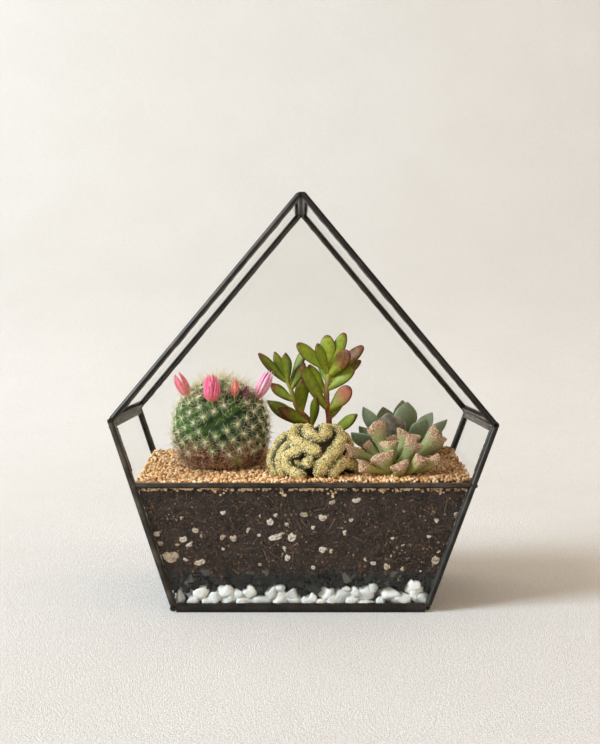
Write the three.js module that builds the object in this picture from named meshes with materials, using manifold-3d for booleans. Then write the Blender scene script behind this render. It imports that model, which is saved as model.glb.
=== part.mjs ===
// A house-shaped glass terrarium planted with succulents.
// Millimetres, +Z up. The open front faces -Y, and the origin is on the underside, in the middle.

import * as THREE from 'three';
import { mergeVertices } from 'three/addons/utils/BufferGeometryUtils.js';
import Module from 'manifold-3d';

const wasm = await Module();
wasm.setup();

// ---------------------------------------------------------------- driving dimensions

// Corners of the house in the X-Z plane, on the middle line of the strips. It is
// soldered by hand, so its two shoulders are not quite alike.
const house = {
  baseLeft: [-84.4, 2.6],
  baseRight: [80.8, 2.6],
  shoulderRight: [125.0, 122.1],
  apex: [-1.3, 272.7],
  shoulderLeft: [-125.0, 125.2],
};
const depth = 120;             // over the front and back frames
const clearance = 0.3;         // between pieces that touch
const glass = 1.8;             // thickness of every pane

const strip = {
  depth: 5,                    // of a front or back strip, along Y
  bevel: 0.5,
  grip: 1.0,                   // how far a pane's edge enters a strip
  sillWidth: 5.2,
  legWidth: 4.0,
  roofWidth: 3.6,
  railBottom: 81.3,
  railTop: 84.5,
};
const came = {
  wall: 0.7,                   // metal on each face of the glass
  heart: 0.8,                  // metal between the edges of two panes
  flange: 5,                   // along each pane
  ridgeTrim: -0.2,             // the ridge is pressed flat behind the two frames
};

const bed = {
  margin: 2.4,                 // from the strips' middle line to the filling
  bottom: 3.8,
  stoneTop: 15.2,
  stoneSize: 13.5,               // white stones, drawn larger than life
  charcoalTop: 23.5,
  soilFront: 78.7,             // height of the soil behind the front pane
  soilRise: 0.085,             // and its slope towards the back
  gravelFront: 86.2,
  gravelRise: 0.078,
  gravelTilt: 0.011,           // higher on the right
  grain: 1.7,                  // relief of the gravel
};

const cactus = {
  centre: [-57.8, 0, 116.5],
  radius: 32.0,
  rise: 32.6,                  // from the widest level to the crown
  drop: 31,                    // from the widest level down to the soil
  columns: 24,
  rows: 10,
  crownAngle: 12,              // degrees from the crown to the first row
  greenAngle: 117,
  tubercle: 2.2,
  furrow: 0.7,
  spine: 5.2,
  spineWidth: 1.0,
  footRadius: 21.5,
  footBottom: 76,
};

const brain = {
  centre: [7.4, -31, 92],
  size: [27.5, 20.5, 22],      // half width, half depth, height of the core
  ridge: 5.1,                  // radius of one ridge of the crest
  footRadius: 14,
  footBottom: 72,
};

const crassulaStems = [
  {
    name: 'crassula_stem_right',
    foot: [14.5, 17],
    thickness: [2.6, 1.7],
    path: [[14.5, 17, 88], [17.6, 17, 104], [18.8, 15, 118], [17.2, 15, 133], [17.4, 14, 145], [19.4, 14, 156]],
    leaves: [
      { joint: 126, tip: [-0.6, 7, 158.5], width: 9.6 },
      { joint: 137, tip: [4.2, 21, 159], width: 8.4 },
      { joint: 125, tip: [33.6, 8, 143.5], width: 10.6 },
      { joint: 140, tip: [36.8, 8, 158.5], width: 9.2 },
      { joint: 155, tip: [-4.4, 11, 174.5], width: 9.4 },
      { joint: 154, tip: [17.4, 19, 180.5], width: 9.8 },
      { joint: 152, tip: [10.2, 3, 174.5], width: 7.4 },
      { joint: 155, tip: [30.4, 20, 182], width: 8.4 },
      { joint: 152, tip: [32.4, -1, 168.5], width: 11.6 },
      { joint: 151, tip: [43.4, 12, 172.5], width: 8.6 },
      { joint: 147, tip: [42.2, 20, 162], width: 7.6 },
      { joint: 120, tip: [30.5, 31, 139], width: 8.4 },
      { joint: 146, tip: [13.0, 33, 168], width: 8.2 },
      { joint: 108, tip: [38.5, 3, 124.5], width: 7.8 },
    ],
  },
  {
    name: 'crassula_stem_left',
    foot: [4.5, 21],
    thickness: [2.4, 1.6],
    path: [[4.5, 21, 88], [6.5, 20, 104], [4.6, 18, 118], [-3.8, 18, 127], [-7.6, 18, 138], [-11.8, 18, 148]],
    leaves: [
      { joint: 146, tip: [-32.0, 15, 167.5], width: 6.8 },
      { joint: 147, tip: [-20.6, 24, 168.5], width: 6.6 },
      { joint: 145, tip: [-12.6, 12, 167.8], width: 7.4 },
      { joint: 143, tip: [2.0, 26, 172.5], width: 6.8 },
      { joint: 140, tip: [1.0, 17, 160.5], width: 7.2 },
      { joint: 132, tip: [-23.8, 21, 145.5], width: 7.6 },
      { joint: 124, tip: [-0.8, 7, 149], width: 10.0 },
      { joint: 126, tip: [-26.2, 24, 132.5], width: 10.4 },
      { joint: 120, tip: [-17.0, 8, 126.5], width: 8.6 },
      { joint: 113, tip: [9.4, 6, 136.5], width: 7.0 },
      { joint: 128, tip: [3.6, 35, 147], width: 8.2 },
    ],
  },
];

const jewel = {
  centre: [62.5, -33, 88],
  footRadius: 6,
  footBottom: 70,
  thick: 7.5,
  leaves: [
    { tip: [32.0, -43, 109.0], width: 11.0 },
    { tip: [46.0, -19, 119.0], width: 12.5 },
    { tip: [55.5, -31, 113.0], width: 12.0 },
    { tip: [70.5, -29, 116.5], width: 13.5 },
    { tip: [80.0, -41, 110.5], width: 13.0 },
    { tip: [93.4, -27, 115.5], width: 12.5 },
    { tip: [80.6, -49, 98.5], width: 13.0 },
    { tip: [66.6, -51, 95.5], width: 12.5 },
    { tip: [50.0, -47, 101.0], width: 13.0 },
    { tip: [38.5, -51, 93.0], width: 11.0 },
    { tip: [92.0, -42, 98.5], width: 11.0 },
    { tip: [43.0, -20, 104.0], width: 10.0 },
    { tip: [61.0, -17, 108.0], width: 11.0 },
  ],
};

const echeveria = {
  centre: [70.0, 22, 92],
  footRadius: 5,
  footBottom: 72,
  leaves: 18,
  turn: 137.5,                 // degrees from each leaf to the next
  firstTurn: 200,
  lift: [30, 82],              // degrees above level, outermost and innermost
  length: [41, 22],
  width: [17.5, 11],
  thick: 4,
};

const seed = 20260;

// ---------------------------------------------------------------- small helpers

const radians = THREE.MathUtils.degToRad;
const lerp = THREE.MathUtils.lerp;
const vector = (place) => new THREE.Vector3(...place);

function randomDraws(start) {
  let state = start;
  return () => {
    state = (state * 1664525 + 1013904223) % 4294967296;
    return state / 4294967296;
  };
}

function solidOf(geometry) {
  const bare = geometry.index ? geometry.toNonIndexed() : geometry.clone();
  bare.deleteAttribute('normal');
  bare.deleteAttribute('uv');
  const merged = mergeVertices(bare, 1e-4);
  return new wasm.Manifold(new wasm.Mesh({
    numProp: 3,
    vertProperties: new Float32Array(merged.attributes.position.array),
    triVerts: new Uint32Array(merged.index.array),
  }));
}

// The main body of a solid: sealed hollows are filled and loose scraps dropped. Two
// triangles belong to one body where they share an edge.
function mainBody({ vertProperties, triVerts }) {
  const triangles = [];
  for (let t = 0; t < triVerts.length; t += 3) triangles.push([...triVerts.slice(t, t + 3)]);
  const sidesOf = ([a, b, c]) => [[a, b], [b, c], [c, a]];
  const owner = triangles.map((_, i) => i);
  const root = (i) => {
    while (owner[i] !== i) {
      owner[i] = owner[owner[i]];
      i = owner[i];
    }
    return i;
  };
  const sideOwner = new Map();
  triangles.forEach((triangle, i) => {
    for (const [from, to] of sidesOf(triangle)) sideOwner.set(`${from} ${to}`, i);
  });
  triangles.forEach((triangle, i) => {
    for (const [from, to] of sidesOf(triangle)) owner[root(sideOwner.get(`${to} ${from}`))] = root(i);
  });
  const bodies = new Map();
  const at = (i) => new THREE.Vector3().fromArray(vertProperties, 3 * i);
  triangles.forEach((triangle, i) => {
    const body = bodies.get(root(i)) ?? { volume: 0, corners: [] };
    const [a, b, c] = triangle.map(at);
    body.volume += a.dot(b.cross(c)) / 6;
    body.corners.push(...triangle);
    bodies.set(root(i), body);
  });
  return [...bodies.values()].sort((a, b) => b.volume - a.volume)[0].corners;
}

function geometryOf(solid) {
  const mesh = solid.getMesh();
  let geometry = new THREE.BufferGeometry();
  geometry.setAttribute('position', new THREE.BufferAttribute(new Float32Array(mesh.vertProperties), 3));
  geometry.setIndex(mainBody(mesh));
  geometry = mergeVertices(geometry, 1e-3);
  const kept = [];
  for (let t = 0; t < geometry.index.count; t += 3) {
    const [a, b, c] = geometry.index.array.slice(t, t + 3);
    if (a !== b && b !== c && c !== a) kept.push(a, b, c);
  }
  geometry.setIndex(kept);
  const shown = geometry.toNonIndexed();
  shown.computeVertexNormals();
  return shown;
}

function fuse(solids) {
  let level = solids;
  while (level.length > 1) {
    const next = [];
    for (let i = 0; i < level.length; i += 2) {
      next.push(i + 1 < level.length ? level[i].add(level[i + 1]) : level[i]);
    }
    level = next;
  }
  return level[0];
}

const without = (solid, others) => others.reduce((rest, other) => rest.subtract(other), solid);

function closedMesh(points, triangles) {
  const geometry = new THREE.BufferGeometry();
  const flat = points.flatMap((point) => [point.x, point.y, point.z]);
  geometry.setAttribute('position', new THREE.Float32BufferAttribute(flat, 3));
  geometry.setIndex(triangles);
  return geometry;
}

// An outline in the X-Z plane, made solid from yFrom to yTo.
function plate(outline, yFrom, yTo, bevel = 0) {
  const shape = new THREE.Shape(outline.map(([x, z]) => new THREE.Vector2(x, z)));
  const geometry = new THREE.ExtrudeGeometry(shape, {
    depth: yTo - yFrom - 2 * bevel,
    bevelEnabled: bevel > 0,
    bevelSize: bevel,
    bevelThickness: bevel,
    bevelOffset: -bevel,
    bevelSegments: 1,
  });
  return geometry.rotateX(Math.PI / 2).translate(0, yTo - bevel, 0);
}

function post(x, y, zFrom, zTo, radius, sides = 16) {
  const geometry = new THREE.CylinderGeometry(radius, radius, zTo - zFrom, sides);
  return solidOf(geometry.rotateX(Math.PI / 2).translate(x, y, (zFrom + zTo) / 2));
}

// ---------------------------------------------------------------- the metal and the glass

const paints = {
  patina: { color: 0x2e2823, roughness: 0.42, metalness: 0.75 },
  glass: { color: 0xdfe6e0, roughness: 0.03, metalness: 0.0, transparent: true, opacity: 0.22 },
  stone: { color: 0xdedfd8, roughness: 0.75, metalness: 0.0 },
  charcoal: { color: 0x33312c, roughness: 0.95, metalness: 0.0 },
  soil: { color: 0x483e35, roughness: 1.0, metalness: 0.0 },
  gravel: { color: 0xcfa77c, roughness: 0.9, metalness: 0.0 },
  cactus: { color: 0x5b663b, roughness: 0.7, metalness: 0.0 },
  petal: { color: 0xe6728a, roughness: 0.55, metalness: 0.0 },
  crest: { color: 0xb3a35f, roughness: 0.65, metalness: 0.0 },
  crassula: { color: 0x7f8a3a, roughness: 0.4, metalness: 0.0 },
  jewel: { color: 0x97a07f, roughness: 0.6, metalness: 0.0 },
  echeveria: { color: 0x72755f, roughness: 0.55, metalness: 0.0 },
};

const terrarium = new THREE.Group();
terrarium.name = 'glass_plant_terrarium';

function addPiece(name, solid, paint) {
  const mesh = new THREE.Mesh(geometryOf(solid), new THREE.MeshStandardMaterial(paints[paint]));
  mesh.name = name;
  terrarium.add(mesh);
}

const corners = Object.values(house).map(([x, z]) => new THREE.Vector2(x, z));
const edges = [
  { name: 'sill', width: strip.sillWidth },
  { name: 'leg_right', width: strip.legWidth },
  { name: 'roof_right', width: strip.roofWidth },
  { name: 'roof_left', width: strip.roofWidth },
  { name: 'leg_left', width: strip.legWidth },
];
edges.forEach((edge, i) => {
  edge.from = corners[i];
  edge.to = corners[(i + 1) % corners.length];
  edge.along = edge.to.clone().sub(edge.from).normalize();
  edge.inward = new THREE.Vector2(-edge.along.y, edge.along.x);
});

// Where two edges meet once each is moved inwards by its own distance.
function meeting(first, firstShift, second, secondShift) {
  const start = first.from.clone().addScaledVector(first.inward, firstShift);
  const goal = second.from.clone().addScaledVector(second.inward, secondShift);
  const run = goal.sub(start).cross(second.along) / first.along.cross(second.along);
  return start.addScaledVector(first.along, run);
}

function insetOutline(shiftOf) {
  return edges.map((edge, i) => {
    const before = edges[(i + edges.length - 1) % edges.length];
    return meeting(before, shiftOf(before), edge, shiftOf(edge)).toArray();
  });
}

const innerCorners = insetOutline((edge) => edge.width / 2);

// A strip is cut square at both ends, and its inner corners meet those of its neighbours.
function stripOutline(i) {
  const edge = edges[i];
  const start = new THREE.Vector2(...innerCorners[i]).addScaledVector(edge.along, clearance);
  const end = new THREE.Vector2(...innerCorners[(i + 1) % edges.length]).addScaledVector(edge.along, -clearance);
  const outwards = edge.inward.clone().multiplyScalar(-edge.width);
  return [start.clone().add(outwards), end.clone().add(outwards), end, start].map((point) => point.toArray());
}

const [sillEdge, legRight, , , legLeft] = edges;
const xOnEdge = (edge, z, shift) => {
  const start = edge.from.clone().addScaledVector(edge.inward, shift);
  return start.x + ((z - start.y) / edge.along.y) * edge.along.x;
};

function railOutline(grow = 0) {
  const shift = strip.legWidth / 2 + clearance - grow;
  return [
    [xOnEdge(legLeft, strip.railBottom - grow, shift), strip.railBottom - grow],
    [xOnEdge(legRight, strip.railBottom - grow, shift), strip.railBottom - grow],
    [xOnEdge(legRight, strip.railTop + grow, shift), strip.railTop + grow],
    [xOnEdge(legLeft, strip.railTop + grow, shift), strip.railTop + grow],
  ];
}

// Panes of the front and the back. A grown pane is the channel that takes it.
const faceGlass = depth / 2 - 1;             // outer face of the front and back panes

function frontPane(grow = 0) {
  const shift = strip.legWidth / 2 - strip.grip - grow;
  const bottom = strip.sillWidth - strip.grip - grow;
  const top = strip.railBottom + strip.grip + grow;
  const outline = [
    [xOnEdge(legLeft, bottom, shift), bottom],
    [xOnEdge(legRight, bottom, shift), bottom],
    [xOnEdge(legRight, top, shift), top],
    [xOnEdge(legLeft, top, shift), top],
  ];
  return solidOf(plate(outline, -faceGlass - grow, -faceGlass + glass + grow));
}

function backPane(grow = 0) {
  const outline = insetOutline((edge) => edge.width / 2 - strip.grip - grow);
  return solidOf(plate(outline, faceGlass - glass - grow, faceGlass + grow));
}

// Panes that run from front to back end a little short of the corner lines, on the
// heart of the came.
function halfAngleAt(i) {
  const before = edges[(i + edges.length - 1) % edges.length];
  return before.along.clone().negate().angleTo(edges[i].along) / 2;
}

function setbackAt(i) {
  const half = halfAngleAt(i);
  return (came.heart / 2 + (glass / 2 + clearance) * Math.cos(half)) / Math.sin(half) + clearance;
}

function longPane(i, grow = 0) {
  const edge = edges[i];
  const from = edge.from.clone().addScaledVector(edge.along, setbackAt(i) - grow);
  const to = edge.to.clone().addScaledVector(edge.along, grow - setbackAt((i + 1) % edges.length));
  const half = edge.inward.clone().multiplyScalar(glass / 2 + grow);
  const outline = [from.clone().sub(half), to.clone().sub(half), to.clone().add(half), from.clone().add(half)];
  const reach = depth / 2 - strip.depth + 0.9 + grow;
  return solidOf(plate(outline.map((point) => point.toArray()), -reach, reach));
}

// A folded came holds the edges of two panes along one corner line.
function cameOutline(i, grow = 0, trim = came.wall + glass / 2 + clearance) {
  const before = edges[(i + edges.length - 1) % edges.length];
  const arms = [before.along.clone().negate(), edges[i].along];
  const middle = arms[0].clone().add(arms[1]).normalize();
  const half = halfAngleAt(i);
  const thick = glass / 2 + clearance + came.wall + grow;
  const flange = came.flange + grow;
  const reach = thick / Math.sin(half);
  const cap = Math.min(trim + grow, reach);
  const capRun = (thick * Math.sin(half) - cap) / Math.cos(half);
  const point = (arm, run, side) => {
    const inward = middle.clone().addScaledVector(arm, -middle.dot(arm)).normalize();
    return corners[i].clone().addScaledVector(arm, run).addScaledVector(inward, side * thick);
  };
  return [
    point(arms[0], capRun, -1),
    point(arms[1], capRun, -1),
    point(arms[1], flange, -1),
    point(arms[1], flange, 1),
    corners[i].clone().addScaledVector(middle, reach),
    point(arms[0], flange, 1),
    point(arms[0], flange, -1),
  ].map((place) => place.toArray());
}

const longPanes = [
  { name: 'base_pane', edge: 0 },
  { name: 'side_pane_right', edge: 1 },
  { name: 'roof_pane_right', edge: 2 },
  { name: 'roof_pane_left', edge: 3 },
  { name: 'side_pane_left', edge: 4 },
];
const cames = [
  { name: 'base_came_left', corner: 0 },
  { name: 'base_came_right', corner: 1 },
  { name: 'shoulder_came_right', corner: 2 },
  { name: 'ridge_came', corner: 3, trim: came.ridgeTrim },
  { name: 'shoulder_came_left', corner: 4 },
];

const channels = [
  frontPane(clearance),
  backPane(clearance),
  ...longPanes.map((pane) => longPane(pane.edge, clearance)),
];

for (const side of [{ name: 'front', sign: -1 }, { name: 'back', sign: 1 }]) {
  const outer = side.sign * depth / 2;
  const inner = side.sign * (depth / 2 - strip.depth);
  edges.forEach((edge, i) => {
    const bar = plate(stripOutline(i), Math.min(outer, inner), Math.max(outer, inner), strip.bevel);
    addPiece(`${side.name}_${edge.name}`, without(solidOf(bar), channels), 'patina');
  });
}
const rail = solidOf(plate(railOutline(), -depth / 2, strip.depth - depth / 2, strip.bevel));
addPiece('front_rail', without(rail, channels), 'patina');

const cameReach = depth / 2 - strip.depth - clearance;
for (const { name, corner, trim } of cames) {
  const bar = plate(cameOutline(corner, 0, trim), -cameReach, cameReach);
  addPiece(name, without(solidOf(bar), channels), 'patina');
}

addPiece('front_pane', frontPane(), 'glass');
addPiece('back_pane', backPane(), 'glass');
for (const { name, edge } of longPanes) addPiece(name, longPane(edge), 'glass');

// ---------------------------------------------------------------- the layers of the bed

const bedReach = faceGlass - glass - 0.4;
const swell = (x, y) => Math.sin(x / 17 + 1.3) * Math.cos(y / 19) + 0.6 * Math.sin(x / 7.3 + y / 11);

const stoneTop = (x, y) => bed.stoneTop + 1.1 * swell(x, y);
const charcoalTop = (x, y) => bed.charcoalTop + 1.5 * swell(x + 40, y - 25);
const soilTop = (x, y) => bed.soilFront + bed.soilRise * (y + bedReach);
const groundTop = (x, y) => bed.gravelFront + bed.gravelRise * (y + bedReach) + bed.gravelTilt * x;

// A layer between two surfaces, with walls that lean as the side panes do.
function layer({ bottom, top, columns, rows, inset = 0, flat = false }) {
  const points = [];
  const triangles = [];
  const place = (surface, i, j) => {
    const y = lerp(-bedReach + inset, bedReach - inset, j / rows);
    let x = 0;
    let z = 0;
    for (let pass = 0; pass < 4; pass += 1) {
      z = surface(x, y, i, j);
      const left = xOnEdge(legLeft, z, bed.margin + inset);
      const right = xOnEdge(legRight, z, bed.margin + inset);
      x = lerp(left, right, i / columns);
    }
    return new THREE.Vector3(x, y, z);
  };
  const index = (i, j, level) => (level * (rows + 1) + j) * (columns + 1) + i;
  for (const surface of [bottom, top]) {
    for (let j = 0; j <= rows; j += 1) {
      for (let i = 0; i <= columns; i += 1) points.push(place(surface, i, j));
    }
  }
  const quad = (a, b, c, d) => triangles.push(a, b, c, a, c, d);
  for (let j = 0; j < rows; j += 1) {
    for (let i = 0; i < columns; i += 1) {
      quad(index(i, j, 1), index(i + 1, j, 1), index(i + 1, j + 1, 1), index(i, j + 1, 1));
      if (!flat) quad(index(i, j, 0), index(i, j + 1, 0), index(i + 1, j + 1, 0), index(i + 1, j, 0));
    }
  }
  const rim = [];
  for (let i = 0; i < columns; i += 1) rim.push([i, 0]);
  for (let j = 0; j < rows; j += 1) rim.push([columns, j]);
  for (let i = columns; i > 0; i -= 1) rim.push([i, rows]);
  for (let j = rows; j > 0; j -= 1) rim.push([0, j]);
  rim.forEach(([i, j], k) => {
    const [nextI, nextJ] = rim[(k + 1) % rim.length];
    quad(index(i, j, 0), index(nextI, nextJ, 0), index(nextI, nextJ, 1), index(i, j, 1));
  });
  if (flat) {
    for (let k = 1; k < rim.length - 1; k += 1) {
      triangles.push(index(...rim[0], 0), index(...rim[k + 1], 0), index(...rim[k], 0));
    }
  }
  return solidOf(closedMesh(points, triangles));
}

// White stones: they show only round the walls, so the middle of the layer is one core.
function drainageStones() {
  const draw = randomDraws(seed);
  const floor = () => bed.bottom;
  const level = (bed.bottom + bed.stoneTop) / 2;
  const core = layer({
    bottom: floor,
    top: (x, y) => stoneTop(x, y) - 2,
    columns: 4,
    rows: 3,
    inset: bed.stoneSize * 0.42,
  });
  const left = xOnEdge(legLeft, level, bed.margin + bed.stoneSize / 2);
  const right = xOnEdge(legRight, level, bed.margin + bed.stoneSize / 2);
  const reach = bedReach - bed.stoneSize / 2;
  const places = [];
  const across = Math.round((right - left) / bed.stoneSize);
  for (let i = 0; i <= across; i += 1) {
    const x = lerp(left, right, i / across);
    places.push([x, -reach], [x, reach]);
  }
  const along = Math.round((2 * reach) / bed.stoneSize);
  for (let j = 1; j < along; j += 1) {
    const y = lerp(-reach, reach, j / along);
    places.push([left, y], [right, y]);
  }
  const stones = places.map(([x, y]) => {
    const stone = new THREE.IcosahedronGeometry(bed.stoneSize * 0.49, 0);
    stone.scale(0.86 + 0.14 * draw(), 0.86 + 0.14 * draw(), 0.86 + 0.14 * draw());
    stone.rotateX(draw() * 6.28).rotateZ(draw() * 6.28);
    return solidOf(stone.translate(x, y, level + draw() - 0.5));
  });
  const space = layer({ bottom: floor, top: stoneTop, columns: 10, rows: 5 });
  return fuse([core, ...stones]).intersect(space);
}

const metalRoundBed = [
  ...[-1, 1].map((sign) => {
    const outline = stripOutline(0).map(([x, z]) => [x, z + (z > 1 ? clearance : 0)]);
    const outer = sign * depth / 2;
    const inner = sign * (depth / 2 - strip.depth - clearance);
    return solidOf(plate(outline, Math.min(outer, inner), Math.max(outer, inner)));
  }),
  solidOf(plate(railOutline(clearance), -depth / 2, strip.depth + clearance - depth / 2)),
  ...[0, 1].map((i) => solidOf(plate(cameOutline(i, clearance), -cameReach, cameReach))),
];

addPiece('drainage_stones', without(drainageStones(), metalRoundBed), 'stone');
addPiece('charcoal_layer', layer({
  bottom: (x, y) => stoneTop(x, y) + clearance,
  top: charcoalTop,
  columns: 10,
  rows: 5,
}), 'charcoal');

const plantFeet = [
  { centre: cactus.centre, radius: cactus.footRadius, bottom: cactus.footBottom },
  { centre: brain.centre, radius: brain.footRadius, bottom: brain.footBottom },
  { centre: jewel.centre, radius: jewel.footRadius, bottom: jewel.footBottom },
  { centre: echeveria.centre, radius: echeveria.footRadius, bottom: echeveria.footBottom },
  ...crassulaStems.map(({ foot, thickness }) => ({ centre: foot, radius: thickness[0] + 0.4, bottom: 74 })),
];
const footHoles = plantFeet.map(({ centre, radius, bottom }) => (
  post(centre[0], centre[1], bottom - clearance, 110, radius + 0.4)
));

const soil = layer({
  bottom: (x, y) => charcoalTop(x, y) + clearance,
  top: soilTop,
  columns: 10,
  rows: 5,
});
addPiece('potting_soil', without(soil, footHoles), 'soil');

function topGravel() {
  const draw = randomDraws(seed + 7);
  const columns = 30;
  const rows = 15;
  const grains = Array.from({ length: (columns + 1) * (rows + 1) }, () => draw() * bed.grain);
  return layer({
    bottom: (x, y) => soilTop(x, y) + clearance,
    top: (x, y, i, j) => groundTop(x, y) - grains[j * (columns + 1) + i],
    columns,
    rows,
    flat: true,
  });
}
addPiece('top_gravel', without(topGravel(), [...footHoles, ...metalRoundBed]), 'gravel');

// What lies under the surface of the gravel: the plants are cut level with it, and only
// their feet go down into it.
const underGround = layer({
  bottom: () => 60,
  top: (x, y) => groundTop(x, y) + clearance + 0.05,
  columns: 1,
  rows: 1,
  inset: -2,
});

function footOf({ centre, footRadius, footBottom }, top) {
  return post(centre[0], centre[1], footBottom, top, footRadius);
}

// ---------------------------------------------------------------- leaves and stems

// A thick leaf: rings of points along an arched rib, closed at its base and its tip.
function leafSolid({ base, tip, width, thick, face, arch = 0, sides = 6, outline }) {
  const start = vector(base);
  const end = vector(tip);
  const along = end.clone().sub(start).normalize();
  const across = face.clone().cross(along).normalize();
  const up = along.clone().cross(across).normalize();
  const rings = outline;
  const points = [];
  for (const [run, share, body] of rings) {
    const middle = start.clone().lerp(end, run).addScaledVector(up, arch * 4 * run * (1 - run));
    for (let k = 0; k < sides; k += 1) {
      const angle = (2 * Math.PI * k) / sides;
      points.push(middle.clone()
        .addScaledVector(across, Math.cos(angle) * share * width / 2)
        .addScaledVector(up, Math.sin(angle) * body * thick / 2));
    }
  }
  points.push(start.clone(), end.clone());
  const [startIndex, endIndex] = [points.length - 2, points.length - 1];
  const triangles = [];
  for (let k = 0; k < sides; k += 1) {
    const next = (k + 1) % sides;
    triangles.push(startIndex, next, k);
    const last = (rings.length - 1) * sides;
    triangles.push(endIndex, last + k, last + next);
    for (let ring = 0; ring < rings.length - 1; ring += 1) {
      const [a, b] = [ring * sides, (ring + 1) * sides];
      triangles.push(a + k, a + next, b + next, a + k, b + next, b + k);
    }
  }
  return solidOf(closedMesh(points, triangles));
}

// A round stem along a smooth path, thinner towards its top.
function stemSolid(path, [startRadius, endRadius], steps = 7, sides = 7) {
  const curve = new THREE.CatmullRomCurve3(path.map(vector));
  const points = [];
  const triangles = [];
  for (let step = 0; step <= steps; step += 1) {
    const run = step / steps;
    const middle = curve.getPoint(run);
    const along = curve.getTangent(run);
    const across = along.clone().cross(new THREE.Vector3(0, 1, 0)).normalize();
    const up = along.clone().cross(across);
    for (let k = 0; k < sides; k += 1) {
      const angle = (2 * Math.PI * k) / sides;
      const radius = lerp(startRadius, endRadius, run);
      points.push(middle.clone()
        .addScaledVector(across, Math.cos(angle) * radius)
        .addScaledVector(up, Math.sin(angle) * radius));
    }
  }
  for (let k = 0; k < sides; k += 1) {
    const next = (k + 1) % sides;
    for (let step = 0; step < steps; step += 1) {
      const [a, b] = [step * sides, (step + 1) * sides];
      triangles.push(a + k, a + next, b + next, a + k, b + next, b + k);
    }
    if (k > 0 && k < sides - 1) {
      triangles.push(0, k + 1, k);
      triangles.push(steps * sides, steps * sides + k, steps * sides + k + 1);
    }
  }
  return solidOf(closedMesh(points, triangles));
}

// ---------------------------------------------------------------- the pincushion cactus

function cactusPoint(polar, azimuth, raise = 0) {
  const below = polar > Math.PI / 2;
  const round = below ? Math.sin(polar) ** 0.42 : Math.sin(polar);
  const height = below ? cactus.drop : cactus.rise;
  const normal = new THREE.Vector3(
    Math.sin(polar) * Math.cos(azimuth),
    Math.sin(polar) * Math.sin(azimuth),
    Math.cos(polar),
  );
  return new THREE.Vector3(
    cactus.radius * round * Math.cos(azimuth),
    cactus.radius * round * Math.sin(azimuth),
    height * Math.cos(polar),
  ).add(vector(cactus.centre)).addScaledVector(normal, raise);
}

const cactusRow = (row) => radians(lerp(cactus.crownAngle, cactus.greenAngle, row / (cactus.rows - 1)));
const cactusColumn = (column) => (2 * Math.PI * column) / cactus.columns;

function cactusBody() {
  const points = [cactusPoint(0, 0, -1)];
  const corkRows = [radians(130), radians(146), radians(154)];
  const rowCount = cactus.rows + corkRows.length;
  for (let row = 0; row < rowCount; row += 1) {
    const green = row < cactus.rows;
    const polar = green ? cactusRow(row) : corkRows[row - cactus.rows];
    for (let column = 0; column < cactus.columns; column += 1) {
      const bump = (row + column) % 2 === 0 ? cactus.tubercle : -cactus.furrow;
      points.push(cactusPoint(polar, cactusColumn(column), green ? bump : 0.3 * bump));
    }
  }
  points.push(cactusPoint(radians(154), 0).setX(cactus.centre[0]).setY(cactus.centre[1]));
  const triangles = [];
  const index = (row, column) => 1 + row * cactus.columns + (column % cactus.columns);
  for (let column = 0; column < cactus.columns; column += 1) {
    triangles.push(0, index(0, column), index(0, column + 1));
    triangles.push(points.length - 1, index(rowCount - 1, column + 1), index(rowCount - 1, column));
    for (let row = 0; row < rowCount - 1; row += 1) {
      const [a, b] = [index(row, column), index(row, column + 1)];
      const [c, d] = [index(row + 1, column + 1), index(row + 1, column)];
      if ((row + column) % 2 === 0) triangles.push(a, d, b, b, d, c);
      else triangles.push(a, d, c, a, c, b);
    }
  }
  return solidOf(closedMesh(points, triangles));
}

// One three-sided spine, from under the surface to its tip.
function spineSolid(root, direction, length, width) {
  const sunk = 1;
  const spine = new THREE.ConeGeometry(width / 2, length + sunk, 3, 1);
  spine.translate(0, (length - sunk) / 2, 0);
  spine.applyQuaternion(new THREE.Quaternion().setFromUnitVectors(new THREE.Vector3(0, 1, 0), direction));
  return solidOf(spine.translate(root.x, root.y, root.z));
}

const blooms = [
  // base as an offset from the cactus's centre, tip in the terrarium's own frame
  { name: 'cactus_bloom_left', base: [-22.6, -9, 22.5], tip: [-88.0, -17, 152.5], width: 9, petals: 5 },
  { name: 'cactus_bloom_front', base: [-5.6, -23.5, 21.5], tip: [-63.8, -25, 155.0], width: 12, petals: 7 },
  { name: 'cactus_bud_front', base: [10.4, -20.5, 23.0], tip: [-46.2, -23, 149.8], width: 5.6, petals: 0 },
  { name: 'cactus_bud_right', base: [18.6, -14, 23.4], tip: [-37.4, -17, 145.6], width: 4.2, petals: 0 },
  { name: 'cactus_bloom_right', base: [25.4, -5, 20.5], tip: [-23.6, -8, 154.5], width: 9.5, petals: 5 },
];

function bloomAxis({ base, tip }) {
  const root = vector(cactus.centre).add(vector(base));
  const along = vector(tip).sub(root);
  return { root, length: along.length(), direction: along.normalize() };
}

function onAxis(geometry, root, direction) {
  const turn = new THREE.Quaternion().setFromUnitVectors(new THREE.Vector3(0, 1, 0), direction);
  return geometry.applyQuaternion(turn).translate(root.x, root.y, root.z);
}

// The socket of a bloom: a plain hole that clears it up to where it leaves the spines.
function bloomSocket(bloom) {
  const { root, direction } = bloomAxis(bloom);
  return solidOf(onAxis(new THREE.CylinderGeometry(1.9, 1.9, 16, 9).translate(0, 5.4, 0), root, direction));
}

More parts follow.
